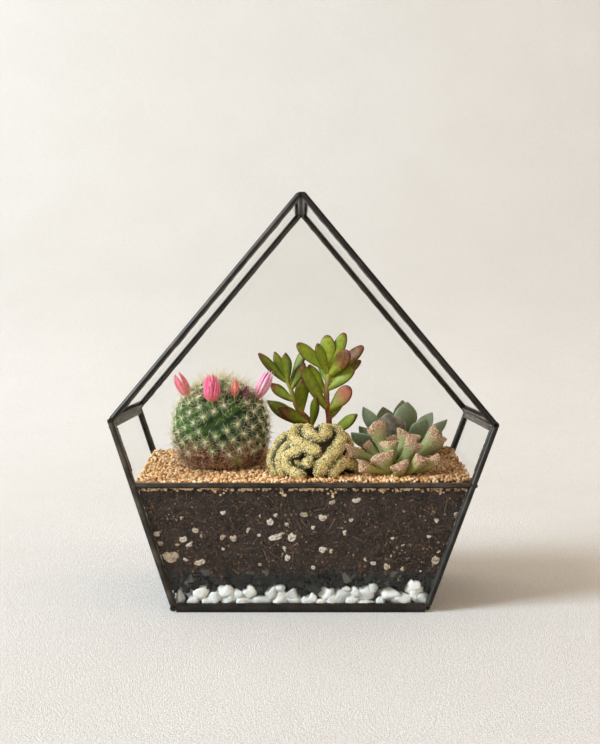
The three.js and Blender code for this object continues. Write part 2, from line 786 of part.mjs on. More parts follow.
function bloomSolid(bloom) {
  const { root, direction, length } = bloomAxis(bloom);
  const { width, petals } = bloom;
  const open = petals > 0;
  const profile = open
    ? [[0, -2], [1.5, -2], [1.5, 3.5], [2.2, length * 0.5], [1.6, length * 0.62], [0, length * 0.66]]
    : [[0, -2], [1.4, -2], [1.4, 3], [width * 0.42, length * 0.5], [width * 0.5, length * 0.68],
      [width * 0.3, length * 0.9], [0, length]];
  const core = new THREE.LatheGeometry(profile.map(([r, h]) => new THREE.Vector2(r, h)), 9);
  const pieces = [solidOf(onAxis(core, root, direction))];
  const side = direction.clone().cross(new THREE.Vector3(0, 0, 1).addScaledVector(direction, 0.2)).normalize();
  const front = side.clone().cross(direction);
  for (let k = 0; k < petals; k += 1) {
    const angle = (2 * Math.PI * k) / petals;
    const outward = side.clone().multiplyScalar(Math.cos(angle)).addScaledVector(front, Math.sin(angle));
    const base = root.clone().addScaledVector(direction, length * 0.34).addScaledVector(outward, 1.2);
    const reach = k % 2 === 0 ? 1 : 0.86;
    const tip = root.clone().addScaledVector(direction, length * reach).addScaledVector(outward, width * 0.44);
    pieces.push(leafSolid({
      base: base.toArray(),
      tip: tip.toArray(),
      width: 3.4,
      thick: 1.3,
      face: outward,
      arch: 0.9,
      sides: 4,
      outline: [[0.05, 0.5, 1], [0.5, 1, 1], [0.8, 0.8, 0.9]],
    }));
  }
  return fuse(pieces);
}

function pincushionCactus() {
  const draw = randomDraws(seed + 11);
  const nearBloom = (point) => blooms.some((bloom) => {
    const { root, direction } = bloomAxis(bloom);
    const gap = point.clone().sub(root);
    return gap.addScaledVector(direction, -gap.dot(direction)).length() < 5.2 && point.z > root.z - 6;
  });
  const spines = [];
  for (let row = 0; row < cactus.rows; row += 1) {
    for (let column = row % 2; column < cactus.columns; column += 2) {
      if (row === 0 && column % 4 !== 0) continue;
      const polar = cactusRow(row);
      const azimuth = cactusColumn(column);
      const tip = cactusPoint(polar, azimuth, cactus.tubercle - 0.3);
      if (nearBloom(tip)) continue;
      const outward = tip.clone().sub(vector(cactus.centre)).normalize();
      const side = new THREE.Vector3(-Math.sin(azimuth), Math.cos(azimuth), 0);
      const up = outward.clone().cross(side);
      const spared = Math.floor(draw() * 4);
      for (let facet = 0; facet < 4; facet += 1) {
        if (facet === spared) continue;
        const turn = Math.PI / 4 + (Math.PI / 2) * facet;
        const sideways = side.clone().multiplyScalar(Math.cos(turn)).addScaledVector(up, Math.sin(turn));
        const direction = outward.clone().addScaledVector(sideways, 1.1).normalize();
        const root = tip.clone().addScaledVector(sideways, 1.3).addScaledVector(outward, -0.9);
        spines.push(spineSolid(root, direction, cactus.spine, cactus.spineWidth));
      }
    }
  }
  const body = fuse([cactusBody(), ...spines]).subtract(underGround);
  const planted = body.add(footOf(cactus, 100));
  return without(planted, blooms.map(bloomSocket));
}

addPiece('pincushion_cactus', pincushionCactus(), 'cactus');
for (const bloom of blooms) addPiece(bloom.name, bloomSolid(bloom), 'petal');

// ---------------------------------------------------------------- the crested cactus

// Ridges of the crest in plan, as shares of the core's half width and half depth.
const crestRidges = [
  [[-0.95, -0.35], [-1.02, 0.1], [-0.75, 0.5], [-0.42, 0.2], [-0.62, -0.3], [-0.35, -0.8], [0.0, -0.95]],
  [[-0.42, 0.75], [-0.1, 0.35], [-0.25, -0.1], [0.1, -0.2], [0.4, 0.12], [0.28, 0.55], [0.0, 0.95]],
  [[0.66, 0.8], [0.74, 0.3], [0.52, -0.2], [0.22, -0.62], [0.1, -1.0]],
  [[0.95, 0.35], [1.03, -0.12], [0.82, -0.55], [0.5, -0.9]],
  [[-0.15, -0.52], [-0.1, -0.62], [-0.05, -0.5]],
  [[-0.78, 0.85], [-0.4, 1.05], [0.3, 1.12]],
];

function crestPoint([across, inwards], sink) {
  const spread = Math.min(1, Math.hypot(across, inwards));
  const [halfWidth, halfDepth, height] = brain.size;
  const rise = Math.sqrt(Math.max(0, 1 - 0.93 * spread * spread)) * height;
  return vector(brain.centre).add(new THREE.Vector3(across * halfWidth * 0.92, inwards * halfDepth * 0.88, rise - sink));
}

function brainCactus() {
  const [halfWidth, halfDepth, height] = brain.size;
  const core = new THREE.SphereGeometry(1, 14, 8);
  core.rotateX(Math.PI / 2).scale(halfWidth - 1.5, halfDepth - 1.5, height - 1.2).translate(...brain.centre);
  const circle = new THREE.Shape();
  circle.absellipse(0, 0, brain.ridge, brain.ridge, 0, 2 * Math.PI);
  const ridges = crestRidges.map((ridge) => {
    const path = new THREE.CatmullRomCurve3(ridge.map((place) => crestPoint(place, 0)));
    const steps = 2 * (ridge.length - 1);
    return solidOf(new THREE.ExtrudeGeometry(circle, { extrudePath: path, steps, curveSegments: 3 }));
  });
  return fuse([solidOf(core), ...ridges]).subtract(underGround).add(footOf(brain, brain.centre[2] + 6));
}

addPiece('crested_cactus', brainCactus(), 'crest');

// ---------------------------------------------------------------- the crassula

const crassulaLeaf = [[0.03, 0.22, 0.5], [0.3, 0.66, 1], [0.62, 1, 0.95], [0.86, 0.74, 0.6]];

// The point of a stem at a given height.
function jointAt(curve, height) {
  const points = curve.getSpacedPoints(60);
  return points.reduce((best, point) => (
    Math.abs(point.z - height) < Math.abs(best.z - height) ? point : best
  ));
}

function crassulaStem({ foot, thickness, path, leaves }) {
  const curve = new THREE.CatmullRomCurve3(path.map(vector));
  const pieces = [stemSolid(path, thickness)];
  for (const { joint, tip, width } of leaves) {
    const base = jointAt(curve, joint);
    const outward = vector(tip).sub(base);
    const face = new THREE.Vector3(-outward.x * 0.35, -outward.y - 4, outward.z).normalize();
    pieces.push(leafSolid({ base: base.toArray(), tip, width, thick: 3.4, face, arch: -1.4, outline: crassulaLeaf }));
  }
  const root = post(foot[0], foot[1], 74, 94, thickness[0] + 0.4, 9);
  return fuse(pieces).subtract(underGround).add(root);
}

for (const stem of crassulaStems) addPiece(stem.name, crassulaStem(stem), 'crassula');

// ---------------------------------------------------------------- the two rosettes

const jewelLeaf = [[0.06, 0.26, 0.5], [0.45, 0.7, 0.9], [0.8, 1.08, 1], [0.96, 0.66, 0.7]];

function jewelPlant() {
  const draw = randomDraws(seed + 29);
  const middle = vector(jewel.centre);
  const pieces = [];
  for (const { tip, width } of jewel.leaves) {
    const end = vector(tip);
    const base = middle.clone().lerp(end, 0.08);
    const outward = end.clone().sub(middle).setZ(0).normalize();
    const face = new THREE.Vector3(-outward.x, -outward.y, 1.1).normalize();
    const leaf = { base: base.toArray(), tip, width, thick: jewel.thick, face, arch: -1.5, outline: jewelLeaf };
    pieces.push(leafSolid(leaf));
    const along = end.clone().sub(base).normalize();
    const across = face.clone().cross(along).normalize();
    const up = along.clone().cross(across);
    for (const share of [-0.26, 0.26]) {
      const spread = share * width;
      const wart = new THREE.OctahedronGeometry(1.7 + 0.4 * draw());
      const place = end.clone()
        .addScaledVector(along, -3.4 + 1.6 * draw())
        .addScaledVector(across, spread)
        .addScaledVector(up, 1.2 * draw() + 0.6);
      pieces.push(solidOf(wart.translate(place.x, place.y, place.z)));
    }
  }
  const heart = new THREE.SphereGeometry(7, 8, 6).translate(...jewel.centre);
  return fuse([solidOf(heart), ...pieces]).subtract(underGround).add(footOf(jewel, jewel.centre[2] + 3));
}

addPiece('jewel_plant', jewelPlant(), 'jewel');

const echeveriaLeaf = [[0.04, 0.2, 0.5], [0.42, 0.7, 1], [0.74, 1, 0.9], [0.93, 0.62, 0.6]];

function echeveriaRosette() {
  const middle = vector(echeveria.centre);
  const pieces = [];
  for (let k = 0; k < echeveria.leaves; k += 1) {
    const share = k / (echeveria.leaves - 1);
    const azimuth = radians(echeveria.firstTurn + echeveria.turn * k);
    const lift = radians(lerp(...echeveria.lift, share ** 0.8));
    const outward = new THREE.Vector3(Math.cos(azimuth), Math.sin(azimuth), 0);
    const towardsFront = Math.max(0, -outward.y);
    const length = lerp(...echeveria.length, share) * (1 - 0.28 * towardsFront);
    const direction = outward.clone().multiplyScalar(Math.cos(lift)).setZ(Math.sin(lift));
    const base = middle.clone().add(new THREE.Vector3(0, 0, 8 * share)).addScaledVector(outward, 1);
    const tip = base.clone().addScaledVector(direction, length);
    pieces.push(leafSolid({
      base: base.toArray(),
      tip: tip.toArray(),
      width: lerp(...echeveria.width, share),
      thick: echeveria.thick,
      face: outward.clone().multiplyScalar(-Math.sin(lift)).setZ(Math.cos(lift)),
      arch: -1.8,
      outline: echeveriaLeaf,
    }));
  }
  const heart = new THREE.SphereGeometry(6, 8, 6).translate(...echeveria.centre);
  return fuse([solidOf(heart), ...pieces]).subtract(underGround).add(footOf(echeveria, echeveria.centre[2] + 3));
}

addPiece('echeveria', echeveriaRosette(), 'echeveria');

export default terrarium;
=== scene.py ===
import math

import bpy
import numpy as np
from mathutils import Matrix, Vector, kdtree


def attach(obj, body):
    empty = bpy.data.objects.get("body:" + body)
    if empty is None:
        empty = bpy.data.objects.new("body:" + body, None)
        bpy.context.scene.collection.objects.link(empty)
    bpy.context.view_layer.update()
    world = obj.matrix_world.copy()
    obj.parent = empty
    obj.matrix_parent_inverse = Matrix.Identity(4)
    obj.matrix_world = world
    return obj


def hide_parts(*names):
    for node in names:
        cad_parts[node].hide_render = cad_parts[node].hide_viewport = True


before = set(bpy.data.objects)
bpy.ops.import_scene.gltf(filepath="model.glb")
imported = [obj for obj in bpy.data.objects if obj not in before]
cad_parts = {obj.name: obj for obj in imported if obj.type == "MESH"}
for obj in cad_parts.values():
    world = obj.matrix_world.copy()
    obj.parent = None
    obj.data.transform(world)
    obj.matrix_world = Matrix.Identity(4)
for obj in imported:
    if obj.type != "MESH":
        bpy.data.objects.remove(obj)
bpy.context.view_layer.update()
bpy.ops.object.select_all(action="DESELECT")
print("frame loaded:", len(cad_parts), "nodes")

# Lengths below are in millimetres; the scene itself is in metres.
mm = 0.001


class Value:
    # wraps a socket, so that sums on it add Math nodes
    def __init__(self, finish, socket):
        self.finish = finish
        self.socket = socket

    def sum(self, operation, first, second):
        made = self.finish.node("ShaderNodeMath", {"operation": operation}, {0: first, 1: second})
        return Value(self.finish, made.outputs[0])

    def __add__(self, other):
        return self.sum("ADD", self, other)

    def __radd__(self, other):
        return self.sum("ADD", other, self)

    def __sub__(self, other):
        return self.sum("SUBTRACT", self, other)

    def __rsub__(self, other):
        return self.sum("SUBTRACT", other, self)

    def __mul__(self, other):
        return self.sum("MULTIPLY", self, other)

    def __rmul__(self, other):
        return self.sum("MULTIPLY", other, self)

    def __pow__(self, other):
        return self.sum("POWER", self, other)

    def between(self, low, high):
        # 0 at low, 1 at high, smooth in between
        made = self.finish.node(
            "ShaderNodeMapRange", {"interpolation_type": "SMOOTHSTEP"}, {0: self, 1: low, 2: high})
        return Value(self.finish, made.outputs[0])


def paint(colour, share=1.0):
    # from a colour as a screen shows it, 0 to 255, to the linear one that shaders take
    parts = [part / 255 for part in colour]
    linear = (part / 12.92 if part <= 0.04045 else ((part + 0.055) / 1.055) ** 2.4 for part in parts)
    return tuple(share * part for part in linear) + (1.0,)


class Finish:
    # one material and the nodes in it
    def __init__(self, name):
        self.material = bpy.data.materials.new(name)
        self.material.use_nodes = True
        self.tree = self.material.node_tree
        self.tree.nodes.clear()
        self.place = self.spot()

    def node(self, kind, settings=None, inputs=None):
        made = self.tree.nodes.new(kind)
        for key, value in (settings or {}).items():
            if key == "stops":
                while len(made.color_ramp.elements) < len(value):
                    made.color_ramp.elements.new(0.5)
                for element, (position, colour) in zip(made.color_ramp.elements, value):
                    element.position = position
                    element.color = paint(colour)
            else:
                setattr(made, key, value)
        for key, value in (inputs or {}).items():
            if isinstance(value, Value):
                value = value.socket
            if isinstance(value, bpy.types.NodeSocket):
                self.tree.links.new(value, made.inputs[key])
            else:
                made.inputs[key].default_value = value
        return made

    def spot(self, stretch=(1000.0, 1000.0, 1000.0)):
        # the place on the piece, in millimetres unless stretched
        point = self.node("ShaderNodeTexCoord").outputs["Object"]
        made = self.node("ShaderNodeMapping", None, {"Vector": point, "Scale": stretch})
        return Value(self, made.outputs[0])

    def axis(self, name):
        # the place along X, Y or Z alone
        return Value(self, self.node("ShaderNodeSeparateXYZ", None, {0: self.place}).outputs[name])

    def noise(self, size, detail=3.0, rough=0.55, warp=0.0, place=None):
        made = self.node("ShaderNodeTexNoise", None, {
            "Vector": place or self.place, "Scale": 1.0 / size, "Detail": detail,
            "Roughness": rough, "Distortion": warp})
        return Value(self, made.outputs[0])

    def cells(self, size):
        made = self.node("ShaderNodeTexVoronoi", None, {"Vector": self.place, "Scale": 1.0 / size})
        return Value(self, made.outputs["Distance"])

    def mark(self, name):
        return Value(self, self.node("ShaderNodeAttribute", {"attribute_name": name}).outputs["Fac"])

    def ramp(self, factor, *stops):
        made = self.node("ShaderNodeValToRGB", {"stops": stops}, {0: factor})
        return Value(self, made.outputs[0])

    def mix(self, factor, first, second):
        # plain colours have three parts; those that paint has made have four
        first, second = (
            paint(tone) if isinstance(tone, tuple) and len(tone) == 3 else tone for tone in (first, second))
        made = self.node("ShaderNodeMix", {"data_type": "RGBA"}, {0: factor, 6: first, 7: second})
        return Value(self, made.outputs[2])

    def bump(self, height, strength, depth, under=None):
        inputs = {"Height": height, "Strength": strength, "Distance": depth * mm}
        if under:
            inputs["Normal"] = under
        return Value(self, self.node("ShaderNodeBump", None, inputs).outputs[0])

    def shade(self, colour, roughness, normal=None, **constants):
        inputs = {"Base Color": colour, "Roughness": roughness}
        if normal:
            inputs["Normal"] = normal
        inputs.update({key.replace("_", " "): value for key, value in constants.items()})
        surface = self.node("ShaderNodeBsdfPrincipled", None, inputs)
        self.show(surface.outputs[0])
        return self

    def show(self, surface):
        self.node("ShaderNodeOutputMaterial", None, {0: surface})

    def over(self, piece):
        piece.data.materials.clear()
        piece.data.materials.append(self.material)


def tonedFinish(name, roughness, *stops):
    # a finish that follows each copy's own tone
    f = Finish(name)
    return f.shade(f.ramp(f.mark("tone"), *stops), roughness)


class Form:
    # a shape modelled once; its points are copied to every place where it repeats
    def __init__(self, points, corners, sizes, marks=None):
        self.points = points
        self.corners = corners
        self.sizes = sizes
        self.marks = marks or {}


def taken(piece):
    # a piece's mesh as a form; the piece itself goes
    mesh = piece.data
    points = np.empty(3 * len(mesh.vertices), np.float64)
    corners = np.empty(len(mesh.loops), np.int64)
    sizes = np.empty(len(mesh.polygons), np.int64)
    mesh.vertices.foreach_get("co", points)
    mesh.loops.foreach_get("vertex_index", corners)
    mesh.polygons.foreach_get("loop_total", sizes)
    bpy.data.objects.remove(piece, do_unlink=True)
    return Form(points.reshape(-1, 3), corners, sizes)


class Heap:
    # gathers placed copies of forms into one mesh
    def __init__(self):
        self.points, self.corners, self.sizes, self.marks = [], [], [], []
        self.count = 0

    def put(self, form, points, **marks):
        self.points.append(points)
        self.corners.append(form.corners + self.count)
        self.sizes.append(form.sizes)
        self.marks.append({key: np.broadcast_to(value, len(points)) for key, value in marks.items()})
        self.count += len(points)

    def joined(self):
        # everything in the heap as one form
        marks = {key: np.concatenate([each[key] for each in self.marks]) for key in self.marks[0]}
        points, corners, sizes = (np.concatenate(part) for part in (self.points, self.corners, self.sizes))
        return Form(points, corners, sizes, marks)

    def shape(self, name, smooth=True):
        # a piece without a finish
        form = self.joined()
        mesh = bpy.data.meshes.new(name)
        mesh.vertices.add(len(form.points))
        mesh.vertices.foreach_set("co", (form.points * mm).astype(np.float32).ravel())
        mesh.loops.add(len(form.corners))
        mesh.loops.foreach_set("vertex_index", form.corners.astype(np.int32))
        mesh.polygons.add(len(form.sizes))
        starts = np.concatenate([[0], np.cumsum(form.sizes)[:-1]])
        mesh.polygons.foreach_set("loop_start", starts.astype(np.int32))
        mesh.update(calc_edges=True)
        mesh.validate()
        for key, values in form.marks.items():
            layer = mesh.attributes.new(key, "FLOAT", "POINT")
            layer.data.foreach_set("value", values.astype(np.float32))
        mesh.polygons.foreach_set("use_smooth", [smooth] * len(form.sizes))
        piece = bpy.data.objects.new(name, mesh)
        bpy.context.collection.objects.link(piece)
        return piece

    def build(self, name, finish, slot, smooth=True):
        piece = self.shape(name, smooth)
        finish.over(piece)
        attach(piece, "root")
        return piece


def only(piece):
    bpy.ops.object.select_all(action="DESELECT")
    piece.select_set(True)
    bpy.context.view_layer.objects.active = piece


def modify(piece, kind, **settings):
    only(piece)
    modifier = piece.modifiers.new(kind.lower(), kind)
    for key, value in settings.items():
        setattr(modifier, key, value)
    bpy.ops.object.modifier_apply(modifier=modifier.name)


def ringForm(sides, rings, smooth=0):
    # extruded ring by ring from a disc: height, half width, half thickness
    height, width, thick = rings[0]
    bpy.ops.mesh.primitive_circle_add(vertices=sides, radius=1, fill_type="NGON", location=(0, 0, 0))
    piece = bpy.context.object
    bpy.ops.object.mode_set(mode="EDIT")
    bpy.ops.mesh.select_all(action="SELECT")
    bpy.ops.transform.translate(value=(0, 0, height))
    bpy.ops.transform.resize(value=(width, thick, 1), center_override=(0, 0, height))
    for (low, wideLow, thickLow), (high, wideHigh, thickHigh) in zip(rings, rings[1:]):
        bpy.ops.mesh.extrude_region_move(TRANSFORM_OT_translate={"value": (0, 0, high - low)})
        bpy.ops.transform.resize(
            value=(wideHigh / wideLow, thickHigh / thickLow, 1), center_override=(0, 0, high))
    bpy.ops.mesh.select_all(action="SELECT")
    bpy.ops.mesh.normals_make_consistent(inside=False)
    bpy.ops.object.mode_set(mode="OBJECT")
    if smooth:
        modify(piece, "SUBSURF", levels=smooth, render_levels=smooth)
    form = taken(piece)
    runs, widths, _ = np.array(rings).T
    wide = np.maximum(np.interp(form.points[:, 2], runs, widths), 0.05)
    form.marks = {
        "along": np.clip(form.points[:, 2], 0, 1),
        "rim": np.clip(np.abs(form.points[:, 0]) / wide, 0, 1),
    }
    return form


def rubble(seed, cuts, bevel=0.0, near=0.6, far=0.85):
    # a cube broken by random planes, with its edges worn round
    draw = np.random.default_rng(seed)
    bpy.ops.mesh.primitive_cube_add(size=1.7, location=(0, 0, 0))
    piece = bpy.context.object
    bpy.ops.object.mode_set(mode="EDIT")
    for _ in range(cuts):
        bpy.ops.mesh.select_all(action="SELECT")
        way = draw.normal(size=3)
        way /= np.linalg.norm(way)
        bpy.ops.mesh.bisect(
            plane_co=way * draw.uniform(near, far), plane_no=way, use_fill=True, clear_outer=True)
    bpy.ops.object.mode_set(mode="OBJECT")
    if bevel:
        modify(piece, "BEVEL", width=bevel, segments=2, limit_method="ANGLE", angle_limit=0.35)
    return taken(piece)


def boulder(seed, subdivisions=4, planes=12, soft=7.0):
    # a ball pressed flat against random planes, with every edge worn round
    draw = np.random.default_rng(seed)
    bpy.ops.mesh.primitive_ico_sphere_add(subdivisions=subdivisions, radius=1, location=(0, 0, 0))
    form = taken(bpy.context.object)
    ways = unit(form.points)
    facing = np.maximum(ways @ unit(draw.normal(size=(planes, 3))).T, 0)
    facing = facing / draw.uniform(0.65, 1.05, planes)
    form.points = ways / (0.25 + np.sum(facing ** soft, axis=1, keepdims=True)) ** (1 / soft)
    lumps = draw.normal(size=(3, 3)) * 3.2
    form.points *= 1 + 0.035 * np.sin(ways @ lumps).sum(axis=1, keepdims=True)
    return form


def pebble(seed, subdivisions=1, wobble=0.25):
    # a ball pushed out of round
    bpy.ops.mesh.primitive_ico_sphere_add(subdivisions=subdivisions, radius=1, location=(0, 0, 0))
    bpy.ops.object.mode_set(mode="EDIT")
    bpy.ops.mesh.select_all(action="SELECT")
    bpy.ops.transform.vertex_random(offset=wobble, uniform=0.4, normal=0.0, seed=seed)
    bpy.ops.object.mode_set(mode="OBJECT")
    return taken(bpy.context.object)


def turnsOf(draw, count):
    # random turns, as 3x3 matrices
    q = draw.normal(size=(count, 4))
    w, x, y, z = (q / np.linalg.norm(q, axis=1, keepdims=True)).T
    return np.stack([
        1 - 2 * (y * y + z * z), 2 * (x * y - z * w), 2 * (x * z + y * w),
        2 * (x * y + z * w), 1 - 2 * (x * x + z * z), 2 * (y * z - x * w),
        2 * (x * z - y * w), 2 * (y * z + x * w), 1 - 2 * (x * x + y * y)], axis=1).reshape(-1, 3, 3)


def unit(vector):
    vector = np.asarray(vector, float)
    return vector / np.linalg.norm(vector, axis=-1, keepdims=True)


def alongRib(shape, base, tip, face, width, thick, arch=0.0, cup=0.0, twist=0.0):
    # lays the points of a straight form along an arched rib, its upper side towards face
    base, tip = np.array(base, float), np.array(tip, float)
    length = np.linalg.norm(tip - base)
    along = (tip - base) / length
    across = unit(np.cross(face, along))
    up = np.cross(along, across)
    run = shape[:, 2:3]
    middle = base + (tip - base) * run + up * (arch * 4 * run * (1 - run))
    lift = unit(up - along * (arch * 4 * (1 - 2 * run) / length))
    turn = twist * run
    side = across * np.cos(turn) + lift * np.sin(turn)
    lift = lift * np.cos(turn) - across * np.sin(turn)
    x, y = shape[:, 0:1], shape[:, 1:2]
    return middle + side * (x * width / 2) + lift * (y * thick / 2 + cup * x * x)


def smoothPath(points, steps):
    # a rounded run through the points (Catmull-Rom)
    p = np.array(points, float)
    p = np.vstack([2 * p[0] - p[1], p, 2 * p[-1] - p[-2]])
    out = []
    for i in range(1, len(p) - 2):
        for t in np.arange(steps) / steps:
            out.append(0.5 * (2 * p[i] + (p[i + 1] - p[i - 1]) * t
                              + (2 * p[i - 1] - 5 * p[i] + 4 * p[i + 1] - p[i + 2]) * t * t
                              + (3 * p[i] - p[i - 1] - 3 * p[i + 1] + p[i + 2]) * t ** 3))
    return np.array(out + [p[-2]])


def tube(heap, path, radii, sides, **marks):
    # a round tube along a path, closed by a low cone at each end
    path = np.array(path, float)
    ways = unit(np.gradient(path, axis=0))
    across = unit(np.cross(ways, (0.13, 0.97, 0.2)))
    up = np.cross(ways, across)
    turn = np.arange(sides) * 2 * math.pi / sides
    radii = np.broadcast_to(radii, len(path))
    points = (path[:, None] + radii[:, None, None] * (
        across[:, None] * np.cos(turn)[None, :, None] + up[:, None] * np.sin(turn)[None, :, None]))
    coneHeight = 0.6
    firstTip = path[:1] - ways[:1] * radii[0] * coneHeight
    lastTip = path[-1:] + ways[-1:] * radii[-1] * coneHeight
    points = np.vstack([points.reshape(-1, 3), firstTip, lastTip])
    faces = []
    last = (len(path) - 1) * sides
    for k in range(sides):
        after = (k + 1) % sides
        for ring in range(len(path) - 1):
            a, b = ring * sides, (ring + 1) * sides
            faces.append([a + k, a + after, b + after, b + k])
        faces.append([len(points) - 2, after, k])
        faces.append([len(points) - 1, last + k, last + after])
    corners = np.array([corner for face in faces for corner in face])
    form = Form(points, corners, np.array([len(face) for face in faces]))
    rings = np.repeat(np.linspace(0, 1, len(path)), sides)
    heap.put(form, points, along=np.concatenate([rings, [0, 1]]), **marks)


def nodeCopy(node, name):
    # a copy of a CAD node, with its loose triangles joined
    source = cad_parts[node]
    piece = bpy.data.objects.new(name, source.data.copy())
    bpy.context.collection.objects.link(piece)
    only(piece)
    bpy.ops.object.mode_set(mode="EDIT")
    bpy.ops.mesh.select_all(action="SELECT")
    bpy.ops.mesh.remove_doubles(threshold=1e-6)
    bpy.ops.mesh.normals_make_consistent(inside=False)
    bpy.ops.object.mode_set(mode="OBJECT")
    return piece


# Corners of the house in the X-Z plane, on the middle line of its strips.
house = {
    "baseLeft": (-84.4, 2.6), "baseRight": (80.8, 2.6), "shoulderRight": (125.0, 122.1),
    "apex": (-1.3, 272.7), "shoulderLeft": (-125.0, 125.2),
    "railLeft": (-110.6, 82.9), "railRight": (110.5, 82.9),
}
# The strips between them, and half the width of each.
strips = [
    ("baseLeft", "baseRight", 2.6), ("baseLeft", "shoulderLeft", 2.0), ("shoulderLeft", "apex", 1.8),
    ("apex", "shoulderRight", 1.8), ("shoulderRight", "baseRight", 2.0), ("railLeft", "railRight", 1.6),
]
patina = {
    "dark": (29, 26, 24), "light": (76, 69, 61), "worn": (146, 142, 134), "edge": (112, 106, 96),
    "metallic": 0.35, "rough": 0.4, "wornShare": 0.67, "crown": 1.5,
}
# How light the patina of each strip is: painted light and shade, lighter on the rail and the left strips,
# darker on the right strips, the sill and the back.
stripLightAndShadeShares = {
    "sill": 0.32, "rail": 1.1, "leg_left": 1.2, "leg_right": 0.5, "roof_left": 0.75, "roof_right": 0.36,
    "back": 0.4,
}
solder = {
    "dark": (28, 26, 24), "light": (66, 61, 55), "worn": (150, 146, 138),
    "metallic": 0.7, "rough": 0.38, "wornShare": 0.66,
}


def stripCrown(f):
    # 1 along the middle line of every strip, 0 at its edges
    x, z = f.axis("X"), f.axis("Z")
    crown = 0.0
    for first, last, half in strips:
        (x0, z0), (x1, z1) = house[first], house[last]
        length = math.hypot(x1 - x0, z1 - z0) * half
        off = (x - x0) * ((z1 - z0) / length) - (z - z0) * ((x1 - x0) / length)
        crown = x.sum("MAXIMUM", 1.0 - off * off, crown)
    return crown


def metalFinish(name, look, lumps, share=1.0):
    f = Finish(name)
    look = {key: paint(value, share) if isinstance(value, tuple) else value for key, value in look.items()}
    cloud = f.noise(14, detail=5, rough=0.6)
    speck = f.noise(1.1, detail=3)
    smear = f.noise(3.2, detail=5, rough=0.7, warp=0.5)
    tone = f.mix(cloud.between(0.35, 0.7), look["dark"], look["light"])
    tone = f.mix(speck.between(0.55, 0.8) * 0.35, tone, look["light"])
    wear = smear.between(look["wornShare"], look["wornShare"] + 0.1)
    tone = f.mix(wear * 0.7, tone, look["worn"])
    rough = look["rough"] + 0.22 * (speck - 0.5) + 0.18 * (cloud - 0.5) - 0.1 * wear
    normal = f.bump(f.noise(2.6, detail=2) * lumps + speck * 0.25, 0.5, 0.25)
    if "crown" in look:
        crown = stripCrown(f)
        # paler specks along the edges of each strip: worn metal, and a painted highlight where the edges
        # catch the light
        tone = f.mix(crown.between(0.5, 0.1) * speck.between(0.3, 0.6) * 0.6, tone, look["edge"])
        normal = f.bump(crown, 1.0, look["crown"], normal)
    return f.shade(tone, rough, normal, Metallic=look["metallic"])


# each strip's patina, lightened or darkened by its share of painted light and shade
stripFinishes = {
    name: metalFinish(name + "_patina", patina, 0.5, share) for name, share in stripLightAndShadeShares.items()}
cameFinish = metalFinish("soldered_came", solder, 1.6)


def streakedFinish():
    # the cames at the shoulders have fine dark and light lines running along them
    f = Finish("streaked_came")
    line = f.noise(0.8, detail=2, rough=0.6, place=f.spot((1000, 26, 1000)))
    smear = f.noise(3.0, detail=4, rough=0.7, warp=0.6)
    tone = f.ramp(
        line, (0.42, (22, 18, 15)), (0.48, (72, 64, 54)), (0.56, (140, 130, 112)), (0.62, (34, 29, 24)))
    tone = f.mix(smear.between(0.5, 0.66) * 0.5, tone, (44, 38, 32))
    return f.shade(tone, 0.5, f.bump(line, 0.5, 0.3), Metallic=0.3)


def glassFinish():
    # thin plate glass: light goes straight through, and the surface reflects more at a slant
    f = Finish("clear_glass")
    slant = Value(f, f.node("ShaderNodeLayerWeight", None, {"Blend": 0.5}).outputs["Facing"])
    gloss = 0.009 + 0.11 * slant ** 5.0
    through = f.node("ShaderNodeBsdfTransparent", None, {"Color": (0.96, 0.963, 0.956, 1)})
    mirror = f.node("ShaderNodeBsdfGlossy", None, {"Color": (1, 1, 1, 1), "Roughness": 0.01})
    both = f.node("ShaderNodeMixShader", None, {0: gloss, 1: through.outputs[0], 2: mirror.outputs[0]})
    f.show(both.outputs[0])
    return f


glass, shoulderFinish = glassFinish(), streakedFinish()
for name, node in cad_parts.items():
    if "pane" in name:
        glass.over(node)
    elif name.startswith("shoulder_came"):
        shoulderFinish.over(node)
    elif "came" in name:
        cameFinish.over(node)
    elif name.startswith("front_"):
        stripFinishes[name.removeprefix("front_")].over(node)
    elif name.startswith("back_"):
        stripFinishes["back"].over(node)


def withinHouse(points, halfDepth):
    # solder never stands out past the strips: half the width on each side, and from 0.05 to 272.4 up
    return np.clip(points, (-126.9, -halfDepth, 0.05), (126.9, halfDepth, 272.4))


blobs = {"size": 3.0, "flat": 0.36, "face": 59.7, "each": 3, "halfDepth": 59.98, "seed": 51}


def solderJoints():
    # flat blobs of solder over each mitre
    form = pebble(3, subdivisions=3, wobble=0.05)
    heap = Heap()
    draw = np.random.default_rng(blobs["seed"])
    for name, (x, z) in house.items():
        for sign in (-1, 1):
            if "rail" in name and sign > 0:
                continue  # the back has no rail
            for _ in range(blobs["each"]):
                size = blobs["size"] * draw.uniform(0.45, 0.8)
                inward = unit(np.array([0.0, 130.0]) - (x, z)) * draw.uniform(-0.3, 1.6)
                spot = np.array([x + inward[0] + draw.uniform(-0.8, 0.8), sign * blobs["face"],
                                 z + inward[1] + draw.uniform(-0.5, 0.5)])
                points = form.points * (size, blobs["flat"], size * draw.uniform(0.6, 1)) + spot
                heap.put(form, withinHouse(points, blobs["halfDepth"]))
    heap.build("solder_joints", cameFinish, "black_patina")


# Fillets of solder in the corners between the panes and the strips: where each starts and ends,
# how far in it lies at the front and at the back, and how far it stops short of its corners.
fillets = {
    "radius": 1.0, "inset": (1.2, 1.75), "place": 54.5, "short": 2, "shortAtRail": 9, "steps": 60, "seed": 53,
    "runs": [("railLeft", "shoulderLeft"), ("shoulderLeft", "apex"), ("apex", "shoulderRight"),
             ("shoulderRight", "railRight")],
}


